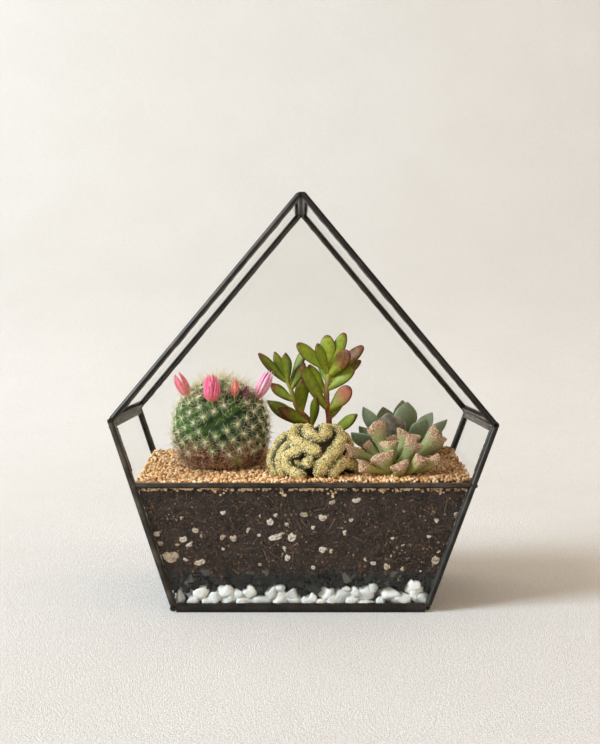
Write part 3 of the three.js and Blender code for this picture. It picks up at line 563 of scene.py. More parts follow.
def solderFillets():
    heap = Heap()
    draw = np.random.default_rng(fillets["seed"])
    steps = fillets["steps"]
    run = np.linspace(0, 1, steps)[:, None]
    for first, last in fillets["runs"]:
        start, end = np.array(house[first]), np.array(house[last])
        along = (end - start) / np.linalg.norm(end - start)
        start = start + along * fillets["shortAtRail" if "rail" in first else "short"]
        end = end - along * fillets["shortAtRail" if "rail" in last else "short"]
        for side, inset in zip((-1, 1), fillets["inset"]):
            line = start + (end - start) * run + np.array([along[1], -along[0]]) * inset
            path = np.column_stack([line[:, 0], np.full(steps, side * fillets["place"]), line[:, 1]])
            tube(heap, path, fillets["radius"] * (1 + 0.12 * draw.normal(size=steps).clip(-2, 2)), sides=8)
    heap.build("solder_fillets", stripFinishes["roof_left"], "black_patina")


# Bright drops where fresh solder shows: place and size.
drops = [
    ((-124.6, -59.4, 121.0), (1.3, 0.5, 1.8)), ((-111.4, -59.4, 83.6), (1.5, 0.5, 1.3)),
    ((-110.0, -59.4, 80.0), (0.9, 0.5, 1.9)), ((124.4, -59.4, 119.6), (1.0, 0.5, 1.5)),
    ((110.8, -59.4, 82.0), (1.1, 0.5, 1.2)),
    ((-124.0, 59.4, 123.0), (1.4, 0.5, 1.5)), ((124.0, 59.4, 120.5), (1.5, 0.5, 1.2)),
]


def brightDrops():
    f = Finish("bright_solder")
    cloud = f.noise(1.4, detail=3)
    tone = f.mix(cloud.between(0.4, 0.65), (96, 96, 92), (176, 177, 172))
    f.shade(tone, 0.4 + 0.3 * cloud, f.bump(cloud, 0.4, 0.3), Metallic=0.75)
    form = pebble(5, subdivisions=3, wobble=0.12)
    heap = Heap()
    for place, size in drops:
        heap.put(form, withinHouse(form.points * size + place, halfDepth=59.99))
    heap.build("solder_drops", f, "black_patina")


solderJoints()
solderFillets()
brightDrops()
print("house dressed")

bed = {
    "reach": 56.9, "besideLeg": 1.4, "slantLeft": 0.3312, "slantRight": 0.3699, "bottom": 3.9,
    "stoneTop": 15.2, "stoneSwell": 1.1, "charcoalTop": 23.5, "charcoalSwell": 1.5,
    "soilFront": 78.7, "soilRise": 0.085, "gravelFront": 86.2, "gravelRise": 0.078, "gravelTilt": 0.011,
}
# The walls of the bed, as onWalls numbers them.
frontWall, backWall, leftSide, rightSide = range(4)


def leftWall(z):
    x, foot = house["baseLeft"]
    return x - (z - foot) * bed["slantLeft"] + bed["besideLeg"]


def rightWall(z):
    x, foot = house["baseRight"]
    return x + (z - foot) * bed["slantRight"] - bed["besideLeg"]


def swell(x, y):
    # gentle waves, so that no layer is flat
    return np.sin(x / 17 + 1.3) * np.cos(y / 19) + 0.6 * np.sin(x / 7.3 + y / 11)


def stoneTop(x, y):
    return bed["stoneTop"] + bed["stoneSwell"] * swell(x, y)


def charcoalTop(x, y):
    return bed["charcoalTop"] + bed["charcoalSwell"] * swell(x + 40, y - 25)


def soilTop(y):
    return bed["soilFront"] + bed["soilRise"] * (y + bed["reach"])


def groundTop(x, y):
    return bed["gravelFront"] + bed["gravelRise"] * (y + bed["reach"]) + bed["gravelTilt"] * x


def onWalls(draw, count, low, high, inset):
    # random places just inside the four walls of the bed, and which wall each is on
    places = []
    reach = bed["reach"] - inset
    while len(places) < count:
        z = draw.uniform(low, high)
        left, right = leftWall(z) + inset, rightWall(z) - inset
        wide = right - left
        run = draw.uniform(0, 2 * wide + 4 * reach)
        if run < wide:
            places.append((left + run, -reach, z, frontWall))
        elif run < 2 * wide:
            places.append((run - wide + left, reach, z, backWall))
        elif run < 2 * wide + 2 * reach:
            places.append((left, run - 2 * wide - reach, z, leftSide))
        else:
            places.append((right, run - 2 * wide - 3 * reach, z, rightSide))
    return np.array(places)


def keepInside(points, inset=0.0):
    # presses points back behind the glass
    points[:, 1] = np.clip(points[:, 1], inset - bed["reach"], bed["reach"] - inset)
    points[:, 2] = np.maximum(points[:, 2], bed["bottom"])
    beside = 0.25 * inset
    points[:, 0] = np.clip(points[:, 0], leftWall(points[:, 2]) + beside, rightWall(points[:, 2]) - beside)
    return points


def scatter(heap, forms, places, sizes, draw, lightest=0.0):
    # tumbled copies, each with its own tone
    turns = turnsOf(draw, len(places))
    tones = draw.uniform(lightest, 1, len(places))
    stretch = draw.uniform(0.75, 1.1, (len(places), 3))
    for i, (place, size) in enumerate(zip(places, sizes)):
        form = forms[i % len(forms)]
        points = (form.points * stretch[i]) @ turns[i].T * size + place[:3]
        heap.put(form, keepInside(points), tone=tones[i], **form.marks)


# White stones. The row against the front glass is laid stone by stone:
# place along X and Z, width and height.
frontStones = [
    (-81.1, 8.6, 5.8, 8.4), (-72.8, 6.7, 7.1, 5.8), (-67.1, 11.3, 9.1, 9.1), (-62.6, 5.2, 6.5, 5.2),
    (-58.1, 8.3, 7.8, 7.8), (-50.8, 12.8, 9.7, 7.8), (-49.0, 6.7, 9.1, 6.5), (-42.9, 10.5, 6.5, 5.8),
    (-38.4, 6.3, 9.7, 6.5), (-35.3, 12.5, 8.4, 7.1), (-28.1, 5.9, 11.7, 5.8), (-21.3, 11.3, 7.1, 9.1),
    (-15.3, 14.7, 5.8, 5.2), (-14.2, 7.5, 11.0, 8.4), (-7.3, 10.9, 6.5, 5.8), (-5.1, 6.7, 8.4, 6.5),
    (3.2, 6.3, 7.8, 6.5), (6.3, 8.6, 4.5, 5.2), (15.0, 11.1, 9.1, 7.8), (11.1, 4.9, 9.1, 4.5),
    (19.5, 6.7, 7.1, 7.8), (25.5, 9.7, 9.7, 9.1), (30.7, 6.4, 9.7, 6.5), (28.2, 14.7, 5.2, 2.6),
    (33.6, 12.2, 6.5, 5.8), (40.0, 11.1, 10.4, 7.8), (46.1, 15.1, 5.2, 5.8), (41.1, 4.6, 11.0, 3.2),
    (57.2, 10.0, 11.0, 8.4), (50.8, 5.7, 5.2, 5.2), (63.6, 6.7, 13.0, 7.1), (72.9, 15.5, 10.4, 8.4),
    (72.8, 10.4, 5.2, 5.2), (76.8, 7.1, 9.7, 6.5),
]
stones = {
    "size": 8.6, "bottomLevel": 7.2, "upperLevel": 11.6, "spacing": 0.86, "fromSides": 3.4, "fromBack": 3.6,
    "fromFront": 9.0, "growWide": 1.24, "growHigh": 1.3, "seed": 71,
}


def stoneFinish():
    f = Finish("white_stone")
    grit = f.noise(0.55, detail=4, rough=0.7)
    vein = f.noise(3.4, detail=5, rough=0.6, warp=0.8)
    colour = f.ramp(f.mark("tone"), (0.0, (206, 211, 209)), (0.45, (232, 236, 234)), (1.0, (245, 246, 243)))
    colour = f.mix(vein.between(0.5, 0.72) * 0.4, colour, (182, 187, 184))
    colour = f.mix(grit.between(0.56, 0.7) * 0.42, colour, (148, 150, 146))
    normal = f.bump(vein * 0.8 + grit * 0.6, 0.9, 0.5)
    return f.shade(colour, 0.62 + 0.2 * grit, normal)


def whiteStones():
    draw = np.random.default_rng(stones["seed"])
    forms = [rubble(20 + k, cuts=10, bevel=0.12) for k in range(6)]
    fronts = [boulder(30 + k, planes=11, soft=13.0) for k in range(7)]
    heap = Heap()
    for k, (x, z, width, height) in enumerate(frontStones):
        form = fronts[k % len(fronts)]
        turned = form.points @ turnsOf(draw, 1)[0].T
        turned /= np.ptp(turned, axis=0)
        turned -= (turned.max(axis=0) + turned.min(axis=0)) / 2
        thick = 0.5 * (width + height) * draw.uniform(0.9, 1.15)
        size = (width * stones["growWide"], thick, height * stones["growHigh"])
        points = turned * size + (x, -bed["reach"] + thick / 2 - 0.4, z)
        heap.put(form, keepInside(points), tone=draw.uniform())
    # two levels behind them: rows over the whole floor, and above it only those along the glass
    rounds = [boulder(40 + k, subdivisions=3) for k in range(6)]
    shown, hidden = [], []
    step = stones["size"] * stones["spacing"]
    rear = bed["reach"] - stones["fromBack"]
    for level, whole in ((stones["bottomLevel"], True), (stones["upperLevel"], False)):
        left, right = leftWall(level) + stones["fromSides"], rightWall(level) - stones["fromSides"]
        for y in np.arange(rear, -bed["reach"] + stones["fromFront"], -step):
            for x in np.arange(left, right + 1, step):
                inner = min(x - left, right - x, rear - y) >= step * 0.8
                if inner and not whole:
                    continue
                place = (x + draw.uniform(-1, 1), y + draw.uniform(-1, 1), level + draw.uniform(-1.2, 1.6))
                (hidden if inner else shown).append(place)
    for group, kinds in ((shown, rounds), (hidden, forms)):
        scatter(heap, kinds, np.array(group), stones["size"] * draw.uniform(0.44, 0.62, len(group)), draw)
    print("stones:", len(frontStones) + len(shown) + len(hidden))
    piece = heap.build("stone_bed", stoneFinish(), "white_stone")
    only(piece)
    bpy.ops.object.shade_smooth_by_angle(angle=0.7)
    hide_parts("drainage_stones")


whiteStones()
print("stones laid")

charcoal = {
    "size": (1.6, 4.0), "count": 900, "behind": 2.8, "voxel": 1.8, "swollen": 0.6, "raised": 1.4, "seed": 81,
}


def charcoalFinish():
    f = Finish("charcoal")
    grain = f.noise(1.2, detail=4, rough=0.7, place=f.spot((1000, 1000, 300)))
    dust = f.noise(0.7, detail=3, rough=0.7)
    colour = f.ramp(
        f.mark("tone"), (0.0, (6, 7, 7)), (0.5, (20, 22, 21)), (0.8, (46, 49, 46)), (1.0, (92, 93, 86)))
    colour = f.mix(grain.between(0.55, 0.8) * 0.4, colour, (84, 80, 70))
    colour = f.mix(dust.between(0.58, 0.7) * 0.45, colour, (120, 112, 98))
    return f.shade(colour, 0.8 - 0.3 * grain, f.bump(grain + dust * 0.5, 0.8, 0.5), Specular_IOR_Level=0.3)


def charcoalLayer():
    draw = np.random.default_rng(charcoal["seed"])
    core = nodeCopy("charcoal_layer", "charcoal_core")
    modify(core, "REMESH", mode="VOXEL", voxel_size=charcoal["voxel"] * mm)
    modify(core, "DISPLACE", strength=charcoal["swollen"] * mm, mid_level=0.0)
    form = taken(core)
    form.points[:, 2] += charcoal["raised"] * mm
    heap = Heap()
    # the core takes the darkest tone, near black: painted shade in the gaps between the lumps
    heap.put(form, keepInside(form.points / mm, charcoal["behind"]), tone=0.0)
    forms = [rubble(40 + k, cuts=6, near=0.4, far=0.8) for k in range(5)]
    places = onWalls(draw, charcoal["count"], 11.0, 26.5, 1.7)
    kept = []
    for place in places:
        x, y = place[:2]
        inFront = place[3] == frontWall
        low = stoneTop(x, y) - (2.5 if inFront else -0.8)
        place[2] = draw.uniform(low, charcoalTop(x, y) + 1.8)
        behindStone = inFront and any(
            abs(x - middle) < width / 2 + 1 and place[2] < level + height / 2 + 1
            for middle, level, width, height in frontStones)
        if not behindStone:
            kept.append(place)
    scatter(heap, forms, kept, draw.uniform(*charcoal["size"], len(kept)), draw)
    piece = heap.build("charcoal_bits", charcoalFinish(), "charcoal", smooth=False)
    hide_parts("charcoal_layer")


charcoalLayer()
print("charcoal laid")

soil = {
    "voxel": 1.5, "swollen": 1.0, "behind": 0.75, "clods": ((5.0, -0.7), (2.0, -0.5)), "crumb": (0.22, 1.0),
    "crumbs": 12500, "frontCrumbs": 9600, "fibres": 2600, "climb": 0.9, "seed": 91,
    "dark": (26, 22, 20), "mid": (56, 47, 42), "warm": (92, 62, 44), "pale": (166, 134, 106),
}

# White grains of expanded rock that show through the front glass: X, Z, width, height.
frontPerlite = [
    (-17.1, 49.2, 11.1, 3.9), (-7.3, 48.6, 4.6, 5.9), (-45.7, 48.1, 3.9, 4.6), (-52.4, 48.8, 3.3, 3.9),
    (-67.5, 32.2, 6.5, 3.9), (-86.7, 35.9, 9.8, 7.8), (-74.2, 43.9, 5.2, 2.6), (-78.3, 47.3, 4.6, 3.9),
    (-93.4, 44.7, 3.3, 3.3), (-95.1, 51.1, 5.2, 3.3), (-70.4, 53.2, 3.9, 3.3), (-82.2, 43.7, 2.6, 2.0),
    (-76.6, 33.8, 3.9, 2.0), (-66.7, 49.6, 1.3, 2.6), (-52.3, 64.8, 3.3, 2.6), (-35.9, 53.4, 2.0, 3.9),
    (-21.6, 58.7, 3.9, 4.6), (-18.2, 63.2, 2.6, 2.6), (-28.3, 62.8, 1.3, 2.0), (0.6, 63.6, 4.6, 3.3),
    (12.6, 61.7, 5.2, 4.6), (6.6, 55.1, 2.6, 2.6), (-10.7, 57.2, 2.6, 2.6), (-10.3, 35.2, 3.3, 4.6),
    (-13.3, 37.7, 1.6, 1.6), (-28.4, 30.8, 2.0, 2.0), (-52.4, 40.9, 2.0, 2.0), (13.0, 40.5, 5.2, 3.9),
    (6.6, 28.7, 2.6, 2.6), (-12.2, 41.3, 2.0, 3.9), (-79.4, 61.3, 2.0, 2.6), (-28.8, 50.0, 2.0, 2.0),
    (31.2, 60.0, 2.6, 2.6), (27.1, 51.8, 2.6, 3.3), (18.8, 71.6, 3.9, 2.6), (34.7, 73.0, 5.2, 3.3),
    (18.3, 39.6, 2.6, 3.3), (65.6, 65.6, 1.6, 1.6), (87.1, 59.7, 2.6, 3.3), (99.8, 64.0, 2.9, 2.6),
    (58.3, 48.0, 2.3, 1.6), (65.1, 43.4, 2.3, 1.3), (40.5, 34.1, 2.0, 2.6), (45.8, 31.6, 3.3, 2.6),
    (54.7, 29.4, 3.9, 4.6), (64.8, 27.8, 2.6, 2.6), (86.7, 33.6, 4.6, 5.9), (82.0, 49.1, 2.6, 2.0),
    (76.8, 26.2, 1.3, 1.3), (57.4, 36.3, 1.0, 2.0), (88.5, 39.0, 2.6, 1.3),
]
perlite = {"others": 150, "sizes": (0.7, 2.3), "specks": 520, "speckSizes": (0.18, 0.46)}


def soilFinish(name, lift):
    f = Finish(name)
    clump = f.noise(9, detail=5, rough=0.65, warp=0.5)
    grit = f.noise(0.9, detail=4, rough=0.75)
    patch = f.noise(6, detail=5, rough=0.7, warp=0.9)
    colour = f.mix(clump.between(0.35, 0.65), soil["dark"], soil["mid"])
    colour = f.mix(patch.between(0.5, 0.66) * grit.between(0.4, 0.6) * 0.75, colour, soil["warm"])
    colour = f.mix(grit.between(0.54, 0.7) * lift, colour, soil["pale"])
    if name == "soil_crumbs":
        own = f.ramp(
            f.mark("tone"), (0.0, (20, 17, 15)), (0.4, (42, 34, 29)), (0.66, (68, 54, 44)),
            (0.86, (92, 68, 52)), (0.96, (122, 88, 62)), (1.0, (190, 158, 126)))
        colour = f.mix(0.7, colour, own)
    return f.shade(colour, 0.93, f.bump(grit + clump * 0.6, 0.8, 0.5), Specular_IOR_Level=0.2)


def perliteFinish():
    f = Finish("perlite")
    pits = f.cells(0.75)
    colour = f.ramp(f.mark("tone"), (0.0, (186, 164, 138)), (0.5, (216, 202, 182)), (1.0, (236, 230, 220)))
    # darker in the pits: soil and painted shade in the hollows
    colour = f.mix(pits.between(0.42, 0.12) * 0.5, colour, (132, 100, 76))
    colour = f.mix(f.noise(1.5, detail=3, rough=0.6).between(0.52, 0.64) * 0.75, colour, (120, 90, 68))
    colour = f.mix(f.mark("pit") * 0.9, colour, (104, 74, 54))
    return f.shade(colour, 0.85, f.bump(pits, 0.8, 0.4))


def soilBody():
    body = nodeCopy("potting_soil", "soil_body")
    modify(body, "REMESH", mode="VOXEL", voxel_size=soil["voxel"] * mm)
    modify(body, "DISPLACE", strength=soil["swollen"] * mm, mid_level=0.0)
    for size, strength in soil["clods"]:
        clouds = bpy.data.textures.new("clods", "CLOUDS")
        clouds.noise_scale = size * mm
        clouds.noise_depth = 2
        modify(body, "DISPLACE", texture=clouds, texture_coords="LOCAL", strength=strength * mm,
               mid_level=0.0)
    form = taken(body)
    heap = Heap()
    heap.put(form, keepInside(form.points / mm, soil["behind"]))
    piece = heap.build("soil_body", soilFinish("potting_soil", 0.5), "potting_soil")
    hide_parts("potting_soil")
    print("soil body built")


def soilCrumbs(draw):
    look = soilFinish("soil_crumbs", 0.35)
    forms = [pebble(60 + k, wobble=0.34) for k in range(5)]
    rest = [p for p in onWalls(draw, soil["crumbs"], 21.0, 87.0, 0.6) if p[3] != frontWall]
    rest = [p for p in rest if charcoalTop(p[0], p[1]) - 0.8 < p[2] < soilTop(p[1]) + 0.4]
    count = soil["frontCrumbs"]
    heights = draw.uniform(21.0, soilTop(-bed["reach"]) + soil["climb"], count)
    share = draw.uniform(0, 1, count)
    depths = draw.uniform(0.2, 1.1, count) - bed["reach"]
    left, right = leftWall(heights), rightWall(heights)
    front = np.column_stack([left + share * (right - left), depths, heights])
    front = [p for p in front if p[2] > charcoalTop(p[0], p[1]) - 0.8]
    for name, group in (("soil_crumbs_front", front), ("soil_crumbs_round", rest)):
        heap = Heap()
        low, high = soil["crumb"]
        sizes = low + (high - low) * draw.uniform(0, 1, len(group)) ** 2.2
        scatter(heap, forms, group, sizes, draw)
        heap.build(name, look, "potting_soil", smooth=False)
    print("crumbs laid")


def perliteGrains(draw):
    lumps = [pebble(80 + k, subdivisions=3, wobble=0.16) for k in range(3)]
    specks = [pebble(90 + k, wobble=0.2) for k in range(2)]
    for form in lumps:
        # popped into lobes, with a bite out of one side
        ways = unit(draw.normal(size=(14, 3)))
        lobes = np.max(unit(form.points) @ ways.T, axis=1)
        # the creases between the lobes are marked for darker colour: soil and painted shade
        form.marks["pit"] = np.clip((0.9 - lobes) / 0.22, 0, 1)
        form.points *= (0.6 + 0.5 * np.clip((lobes - 0.62) / 0.34, 0, 1) ** 0.6)[:, None]
        form.points[:, 2] -= 0.4 * np.exp(-((form.points[:, 0] / 0.4) ** 2)) * (form.points[:, 2] > 0)
    for form in specks:
        form.marks["pit"] = 0.0
    heap = Heap()
    for k, (x, z, width, height) in enumerate(frontPerlite):
        form = lumps[k % 3]
        points = form.points * (width / 2, 0.35 * (width + height) / 2, height / 2)
        lean = draw.uniform(-0.6, 0.6)
        turned = points.copy()
        turned[:, 0] = points[:, 0] * math.cos(lean) - points[:, 2] * math.sin(lean)
        turned[:, 2] = points[:, 0] * math.sin(lean) + points[:, 2] * math.cos(lean)
        turned += (x, -bed["reach"] + 0.4, z)
        heap.put(form, keepInside(turned), tone=draw.uniform(), **form.marks)
    others = [p for p in onWalls(draw, perlite["others"], 27, 78, 0.7) if p[3] != frontWall]
    scatter(heap, lumps, others, draw.uniform(*perlite["sizes"], len(others)), draw)
    dots = onWalls(draw, perlite["specks"], 26, 78, 0.15)
    scatter(heap, specks, dots, draw.uniform(*perlite["speckSizes"], len(dots)), draw)
    heap.build("perlite", perliteFinish(), "potting_soil")


def soilFibres(draw):
    # thin roots, curved in the plane of the wall that they lie against
    fibres = tonedFinish("fibres", 0.8, (0.0, (76, 50, 38)), (0.55, (122, 84, 58)), (0.85, (164, 124, 90)),
                         (1.0, (210, 182, 146)))
    heap = Heap()
    for x, y, z, wall in onWalls(draw, soil["fibres"], 25, 77, 0.35):
        if swell(x * 2.1 + 9, z * 2.6) < draw.uniform(-1.6, 0.9):
            continue
        length = 1.5 + 8 * draw.uniform() ** 2
        way = draw.uniform(0, 2 * math.pi)
        bend = draw.uniform(-0.14, 0.14)
        run = np.linspace(-0.5, 0.5, 5) * length
        beside = run * math.cos(way) - bend * run ** 2 / length * math.sin(way) * 2
        above = run * math.sin(way) + bend * run ** 2 / length * math.cos(way) * 2
        path = np.zeros((5, 3))
        path[:, 2] = np.clip(z + above, 22, soilTop(y) - 1)
        if wall in (frontWall, backWall):
            path[:, 0] = x + beside
            path[:, 1] = y
        else:
            atLeft, atRight = leftWall(path[:, 2]) + 0.35, rightWall(path[:, 2]) - 0.35
            path[:, 0] = atLeft if wall == leftSide else atRight
            path[:, 1] = y + beside
        reach = bed["reach"] - 0.3
        path[:, 0] = np.clip(path[:, 0], leftWall(path[:, 2]) + 0.3, rightWall(path[:, 2]) - 0.3)
        path[:, 1] = np.clip(path[:, 1], -reach, reach)
        tube(heap, path, draw.uniform(0.04, 0.085), sides=4, tone=draw.uniform())
    heap.build("soil_fibres", fibres, "potting_soil")


def pottingSoil():
    draw = np.random.default_rng(soil["seed"])
    soilBody()
    soilCrumbs(draw)
    perliteGrains(draw)
    soilFibres(draw)


pottingSoil()
print("soil laid")

gravel = {"grain": 1.4, "step": 2.46, "jitter": 0.8, "wallGrains": 1100, "fallen": 560, "seed": 101}
# Where the plants stand: place along X and Y, and how far round it there is no gravel.
plantFeet = [(-57.8, 0, 19), (7.4, -31, 12), (62.5, -33, 5), (70, 22, 4)]


def gravelFinish():
    f = Finish("tan_gravel")
    grit = f.noise(0.5, detail=3, rough=0.7)
    # the darkest stop is for the core: painted shade in the gaps between the grains
    colour = f.ramp(f.mark("tone"), (0.0, (70, 48, 30)), (0.04, (160, 114, 68)), (0.35, (216, 170, 116)),
                    (0.7, (238, 198, 148)), (1.0, (250, 228, 192)))
    colour = f.mix(grit.between(0.52, 0.78) * 0.45, colour, (164, 116, 68))
    # darker brown towards the right: painted shade where the plants shade the gravel
    colour = f.mix(f.axis("X").between(66, 104) * 0.5, colour, (98, 60, 26))
    return f.shade(colour, 0.88, f.bump(grit, 0.5, 0.2), Specular_IOR_Level=0.3)


def gravelTop():
    draw = np.random.default_rng(gravel["seed"])
    look = gravelFinish()
    core = nodeCopy("top_gravel", "gravel_core")
    modify(core, "DISPLACE", strength=-1.0 * mm, mid_level=0.0)
    form = taken(core)
    heap = Heap()
    # the core, at the darkest tone, is painted shade between the grains
    heap.put(form, keepInside(form.points / mm, 1.6), tone=0.0)
    forms = [pebble(100 + k, wobble=0.3) for k in range(6)]
    places = onWalls(draw, gravel["wallGrains"], 78, 96, gravel["grain"])
    kept = [p for p in places if soilTop(p[1]) + 0.2 < p[2] < groundTop(p[0], p[1]) - 0.4]
    scatter(heap, forms, kept, gravel["grain"] * draw.uniform(0.75, 1.15, len(kept)), draw)
    fallen = onWalls(draw, gravel["fallen"], 70, 90, gravel["grain"] * 0.5)
    for place in fallen:
        # grains that hang in clusters below the edge, against the glass
        deep = max(0.0, swell(place[0] * 3.1, place[1] * 2.3 + 60) - 0.3) * 4.0
        place[2] = soilTop(place[1]) + 2.2 - (1.6 + deep) * draw.uniform()
    scatter(heap, forms, fallen, gravel["grain"] * draw.uniform(0.6, 0.9, len(fallen)), draw, lightest=0.6)
    piece = heap.build("gravel_edge", look, "tan_gravel")
    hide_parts("top_gravel")

    spots = []
    step = gravel["step"]
    for row, y in enumerate(np.arange(-bed["reach"] + 1.1, bed["reach"] - 1.0, step * 0.87)):
        z = groundTop(0, y)
        for x in np.arange(leftWall(z) + 1.2 + (row % 2) * step / 2, rightWall(z) - 1.1, step):
            x += draw.uniform(-1, 1) * gravel["jitter"]
            yHere = y + draw.uniform(-1, 1) * gravel["jitter"]
            if any(math.hypot(x - fx, yHere - fy) < r for fx, fy, r in plantFeet):
                continue
            spots.append((x, yHere, groundTop(x, yHere) - 1.0 - 1.5 * draw.uniform() ** 1.4))
    heap = Heap()
    scatter(heap, forms, spots, gravel["grain"] * draw.uniform(0.8, 1.2, len(spots)), draw)
    heap.build("gravel_top", look, "tan_gravel")
    print("gravel grains:", len(spots) + len(kept))


gravelTop()
print("gravel laid")

cactus = {
    "centre": (-57.8, 0.0, 116.5), "radius": 31.4, "rise": 31.0, "drop": 31.0, "goldenAngle": 137.508,
    "areoles": 168, "lowest": 120.0, "tubercle": 4.2, "reach": 3.2, "seed": 111,
    "pup": (-45.4, -23.6, 95.4), "pupSize": (5.4, 4.2, 5.2), "pupHairs": 150,
    "spine": 0.235, "hair": 0.17, "bristles": 2000, "footHairs": 3300, "scabs": 2600,
    "bareFrom": (-67.2, -24, 115.4), "bareTo": (-45.3, -24, 131.2),
}


def cactusPoint(polar, azimuth, raised=0.0):
    # a point of the body, which is a ball above its middle and nearly upright below it
    polar, azimuth = np.asarray(polar, float), np.asarray(azimuth, float)
    below = polar > math.pi / 2
    out, up = np.sin(polar), np.cos(polar)
    flat = cactus["radius"] * np.where(below, np.maximum(out, 1e-6) ** 0.42, out)
    height = np.where(below, cactus["drop"], cactus["rise"])
    normal = np.stack([out * np.cos(azimuth), out * np.sin(azimuth), up], axis=-1)
    place = np.stack([flat * np.cos(azimuth), flat * np.sin(azimuth), height * up], axis=-1)
    return place + np.array(cactus["centre"]) + normal * np.expand_dims(raised, -1)


def areolePlaces():
    # evenly spread on a spiral, as the tubercles of the plant grow
    low = math.cos(math.radians(cactus["lowest"]))
    k = np.arange(cactus["areoles"])  # the number of each
    polar = np.arccos(1 - (k + 0.5) / cactus["areoles"] * (1 - low))
    azimuth = k * math.radians(cactus["goldenAngle"])
    return polar, azimuth


def bareShare(points):
    # 1 along the furrow that shows bare green skin
    start, end = np.array(cactus["bareFrom"]), np.array(cactus["bareTo"])
    way = end - start
    run = np.clip(((points - start) @ way) / (way @ way), 0, 1)
    flat = (points - (start + run[:, None] * way)) * (1, 0.25, 1)
    gap = np.linalg.norm(flat, axis=1)
    return np.clip(1.25 - gap / 3.3, 0, 1) * (points[:, 1] < 0)


def cactusSkin():
    f = Finish("cactus_skin")
    knob = f.mark("knob")
    cork = f.mark("cork")
    bare = f.mark("bare")
    fine = f.noise(0.8, detail=3, rough=0.7)
    cloud = f.noise(8, detail=3)
    # darker in the hollows between the tubercles: painted shade
    green = f.mix(knob.between(0.05, 0.85), (18, 38, 12), (64, 108, 36))
    # darker towards the right: painted shade on the side away from the light
    green = f.mix(f.axis("X").between(-64, -34) * 0.6, green, (14, 24, 11))
    green = f.mix(cloud.between(0.45, 0.68) * knob.between(0.0, 0.6) * 0.55, green, (84, 130, 48))
    green = f.mix((bare * 1.6 * cloud).between(0.1, 0.9) * 0.8, green, (70, 114, 36))
    brown = f.ramp(fine, (0.3, (52, 32, 24)), (0.5, (118, 82, 56)), (0.7, (190, 152, 114)))
    green = f.mix(f.mark("pup") * 0.7, green, (112, 112, 44))
    colour = f.mix(cork.between(0.25, 0.75), green, brown)
    return f.shade(colour, 0.62, f.bump(fine, 0.5, 0.3), Specular_IOR_Level=0.35)


def spineFinish():
    f = Finish("spines")
    tone, along = f.mark("tone"), f.mark("along")
    colour = f.ramp(
        tone, (0.0, (232, 226, 190)), (0.6, (252, 248, 216)), (0.9, (234, 222, 184)), (1.0, (110, 78, 54)))
    colour = f.mix(along.between(0.6, 1.0) * tone.between(0.6, 0.95) * 0.8, colour, (104, 72, 50))
    return f.shade(colour, 0.5)


def corkFinish():
    f = Finish("cork")
    patch = f.noise(7, detail=4, rough=0.6)
    colour = f.ramp(f.mark("tone"), (0.0, (48, 30, 24)), (0.4, (104, 72, 50)), (0.75, (156, 116, 80)),
                    (1.0, (208, 172, 132)))
    colour = f.mix(patch.between(0.5, 0.62) * 0.8, colour, (46, 28, 24))
    colour = f.mix(patch.between(0.46, 0.34) * 0.6, colour, (198, 160, 112))
    return f.shade(colour, 0.9)


def woolFinish():
    f = Finish("wool")
    colour = f.ramp(f.mark("tone"), (0.0, (222, 214, 186)), (1.0, (246, 242, 228)))
    return f.shade(colour, 0.95, f.bump(f.noise(0.25, detail=2), 0.8, 0.2))


# Blooms: the foot on the cactus, the tip, the greatest width, and for each ring of petals how many
# there are and how far they reach.
bloomSeed = 121
blooms = {
    "left": {
        "node": "cactus_bloom_left", "foot": (-79.6, -10, 137.5), "tip": (-87.6, -16, 154.5),
        "width": 9.5, "open": 0.5, "rings": ((5, 1.0), (4, 0.94)),
        "base": (232, 122, 104), "middle": (240, 132, 132), "end": (236, 104, 140),
        "deep": (206, 84, 104), "edge": (250, 188, 196),
    },
    "front": {
        "node": "cactus_bloom_front", "foot": (-62.0, -25.5, 135.5), "tip": (-63.2, -26, 155.3),
        "width": 12.6, "open": 0.84, "ragged": 1.0, "round": 3.4,
        "rings": ((13, 0.56), (14, 0.72), (14, 0.84), (13, 0.93), (11, 0.98), (7, 1.0)),
        "base": (232, 112, 100), "middle": (238, 96, 132), "end": (242, 112, 162),
        "deep": (206, 40, 96), "edge": (252, 176, 196),
    },
    "bud_front": {
        "node": "cactus_bud_front", "foot": (-47.0, -22.5, 138.5), "tip": (-46.1, -23, 150.9),
        "width": 6.0, "open": 0.02, "rings": ((4, 1.0), (3, 0.9)),
        "base": (190, 118, 92), "middle": (230, 126, 110), "end": (214, 98, 92),
        "deep": (196, 84, 80), "edge": (246, 176, 160),
    },
    "bud_right": {
        "node": "cactus_bud_right", "foot": (-39.8, -17, 135.5), "tip": (-38.6, -18, 146.4),
        "width": 4.6, "open": 0.1, "rings": ((4, 1.0), (2, 0.8)),
        "base": (80, 32, 40), "middle": (124, 36, 72), "end": (150, 60, 96),
        "deep": (72, 18, 44), "edge": (170, 100, 122),
    },
    "right": {
        "node": "cactus_bloom_right", "foot": (-32.6, -6, 136.0), "tip": (-22.4, -9, 155.8),
        "width": 10.0, "open": 0.6, "rings": ((9, 0.92), (7, 1.0), (4, 0.97)),
        "base": (214, 126, 112), "middle": (244, 172, 192), "end": (238, 144, 200),
        "deep": (216, 96, 150), "edge": (254, 226, 234),
    },
}


